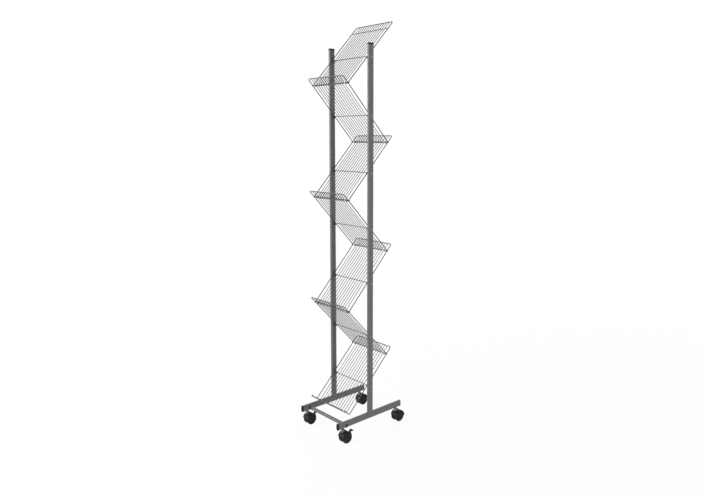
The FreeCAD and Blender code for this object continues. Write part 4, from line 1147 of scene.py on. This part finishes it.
def mix_white(tree, share, lit, white, output):
    """Send a mix of a lit and a white surface to the output."""
    mix = tree.nodes.new("ShaderNodeMixShader")
    for value, socket in zip((share, lit, white), mix.inputs):
        tree.links.new(value, socket)
    tree.links.new(mix.outputs["Shader"], tree.nodes[output].inputs["Surface"])


print("set helpers:", [helper.__name__ for helper in (seen_ray, mix_white)])

# %% [markdown]
# The floor is white but for a faint shadow under the rack, as on a catalogue page. A floor that
# only catches shadows could do it, but it drops the light that the floor throws up onto the
# casters. So this floor is lit like any other, and the glow that hides it is nearly full: a small
# share of the real shading shows near the rack, and none further off, so no far edge shows.

# %% Floor
FLOOR_HALF = 12.0
FLOOR_COLOUR, FLOOR_ROUGH = (0.85, 0.85, 0.85, 1), 0.9
FADE_FROM, FADE_TO = 0.8, 3.5
GLOW_NEAR, GLOW_FAR = 0.94, 1.0


def white_ground():
    """A floor that is white to the camera, but for the rack's shadow."""
    ground = bpy.data.materials.new("white_ground")
    ground.use_nodes = True
    tree = ground.node_tree
    shader = tree.nodes["Principled BSDF"]
    shader.inputs["Base Color"].default_value = FLOOR_COLOUR
    shader.inputs["Roughness"].default_value = FLOOR_ROUGH
    glow = tree.nodes.new("ShaderNodeEmission")
    glow.inputs["Strength"].default_value = 1.0
    place = tree.nodes.new("ShaderNodeTexCoord")
    distance = tree.nodes.new("ShaderNodeVectorMath")
    distance.operation = "LENGTH"
    tree.links.new(place.outputs["Object"], distance.inputs[0])
    fade = between(tree, distance.outputs["Value"], FADE_FROM, FADE_TO, GLOW_NEAR, GLOW_FAR)
    share = joined(tree, "MULTIPLY", seen_ray(tree), fade)
    mix_white(tree, share, shader.outputs["BSDF"], glow.outputs["Emission"], "Material Output")
    return ground


floor_mesh = bmesh.new()
bmesh.ops.create_grid(floor_mesh, x_segments=1, y_segments=1, size=FLOOR_HALF)
floor_data = bpy.data.meshes.new("floor")
floor_mesh.to_mesh(floor_data)
floor_mesh.free()
floor_data.materials.append(white_ground())
floor = bpy.data.objects.new("floor", floor_data)
bpy.context.scene.collection.objects.link(floor)
print("floor:", [round(side, 1) for side in floor.dimensions], "m")

# %% [markdown]
# The sky lights the rack from all round, so that no side is black. A picture of a real sky could
# light it too, but then every reflection would show a place. The sky's own light is a little over
# half of the white that the camera sees, so that each colour comes out about as it is written.

# %% World
SKY_LIGHT, SKY_WHITE = 0.55, 1.0


def sky():
    """White to the camera and in reflections, and a dimmer soft light on the rack."""
    world = bpy.data.worlds.new("soft_sky")
    bpy.context.scene.world = world
    world.use_nodes = True
    tree = world.node_tree
    lit, white = tree.nodes["Background"], tree.nodes.new("ShaderNodeBackground")
    for background, strength in ((lit, SKY_LIGHT), (white, SKY_WHITE)):
        background.inputs["Color"].default_value = (1, 1, 1, 1)
        background.inputs["Strength"].default_value = strength
    mix_white(tree, seen_ray(tree), lit.outputs["Background"], white.outputs["Background"],
              "World Output")


sky()
print("the sky lights with", SKY_LIGHT, "and shows as", SKY_WHITE)

# %% [markdown]
# Three large soft boxes give the rack its form: a key from the front left, a weak fill from the
# right and a lamp from behind. A sun could light it more simply, but its shadows would be hard. A
# box a metre and a half across gives the soft ones of a studio. Each is given by its place and
# target in metres, the side of its square and its watts.

# %% Lamps
LAMPS = {"key_lamp": ((-1.7, -2.9, 1.7), (0, 0, 0.9), 1.6, 125),
         "fill_lamp": ((3.0, -0.3, 0.6), (0, 0, 0.5), 1.2, 12),
         "back_lamp": ((-1.8, 2.6, 2.4), (0, 0, 0.9), 1.6, 40)}


def lamp(name, place, target, size, watts):
    """A square softbox aimed at a point."""
    data = bpy.data.lights.new(name, "AREA")
    data.size = size
    data.energy = watts
    box = bpy.data.objects.new(name, data)
    bpy.context.scene.collection.objects.link(box)
    box.matrix_world = facing(place, Vector(place) - Vector(target))


for name, settings in LAMPS.items():
    lamp(name, *settings)
print("lamps:", [item.name for item in bpy.data.lights])

# %% [markdown]
# The camera stands to the right of the front and looks down by nine degrees, from nearly three
# metres. Its lens could be given in millimetres, but a focal length in pixels says directly how
# large a slope looks in the picture. A small shift of the lens holds the uprights a little
# straighter, as a view camera does.

# %% Camera
IMAGE_WIDTH, IMAGE_HEIGHT = 707, 500
FOCAL_PIXELS = 632.18
MIDDLE_X, MIDDLE_Y = 362.1, 236.0
SENSOR = 36.0
CAMERA_PLACE = (2.095, -1.840, 1.326)
CAMERA_DOWN, CAMERA_TURN = 9.0, 47.68
camera_data = bpy.data.cameras.new("camera")
camera_data.sensor_fit = "HORIZONTAL"
camera_data.sensor_width = SENSOR
camera_data.lens = SENSOR * FOCAL_PIXELS / IMAGE_WIDTH
camera_data.shift_x = (IMAGE_WIDTH / 2 - MIDDLE_X) / IMAGE_WIDTH
camera_data.shift_y = (MIDDLE_Y - IMAGE_HEIGHT / 2) / IMAGE_WIDTH
camera = bpy.data.objects.new("camera", camera_data)
camera.location = CAMERA_PLACE
camera.rotation_euler = (math.radians(90 - CAMERA_DOWN), 0, math.radians(CAMERA_TURN))
bpy.context.scene.collection.objects.link(camera)
bpy.context.scene.camera = camera
bpy.context.scene.view_settings.view_transform = "Standard"
print("lens", round(camera_data.lens, 2), "mm")
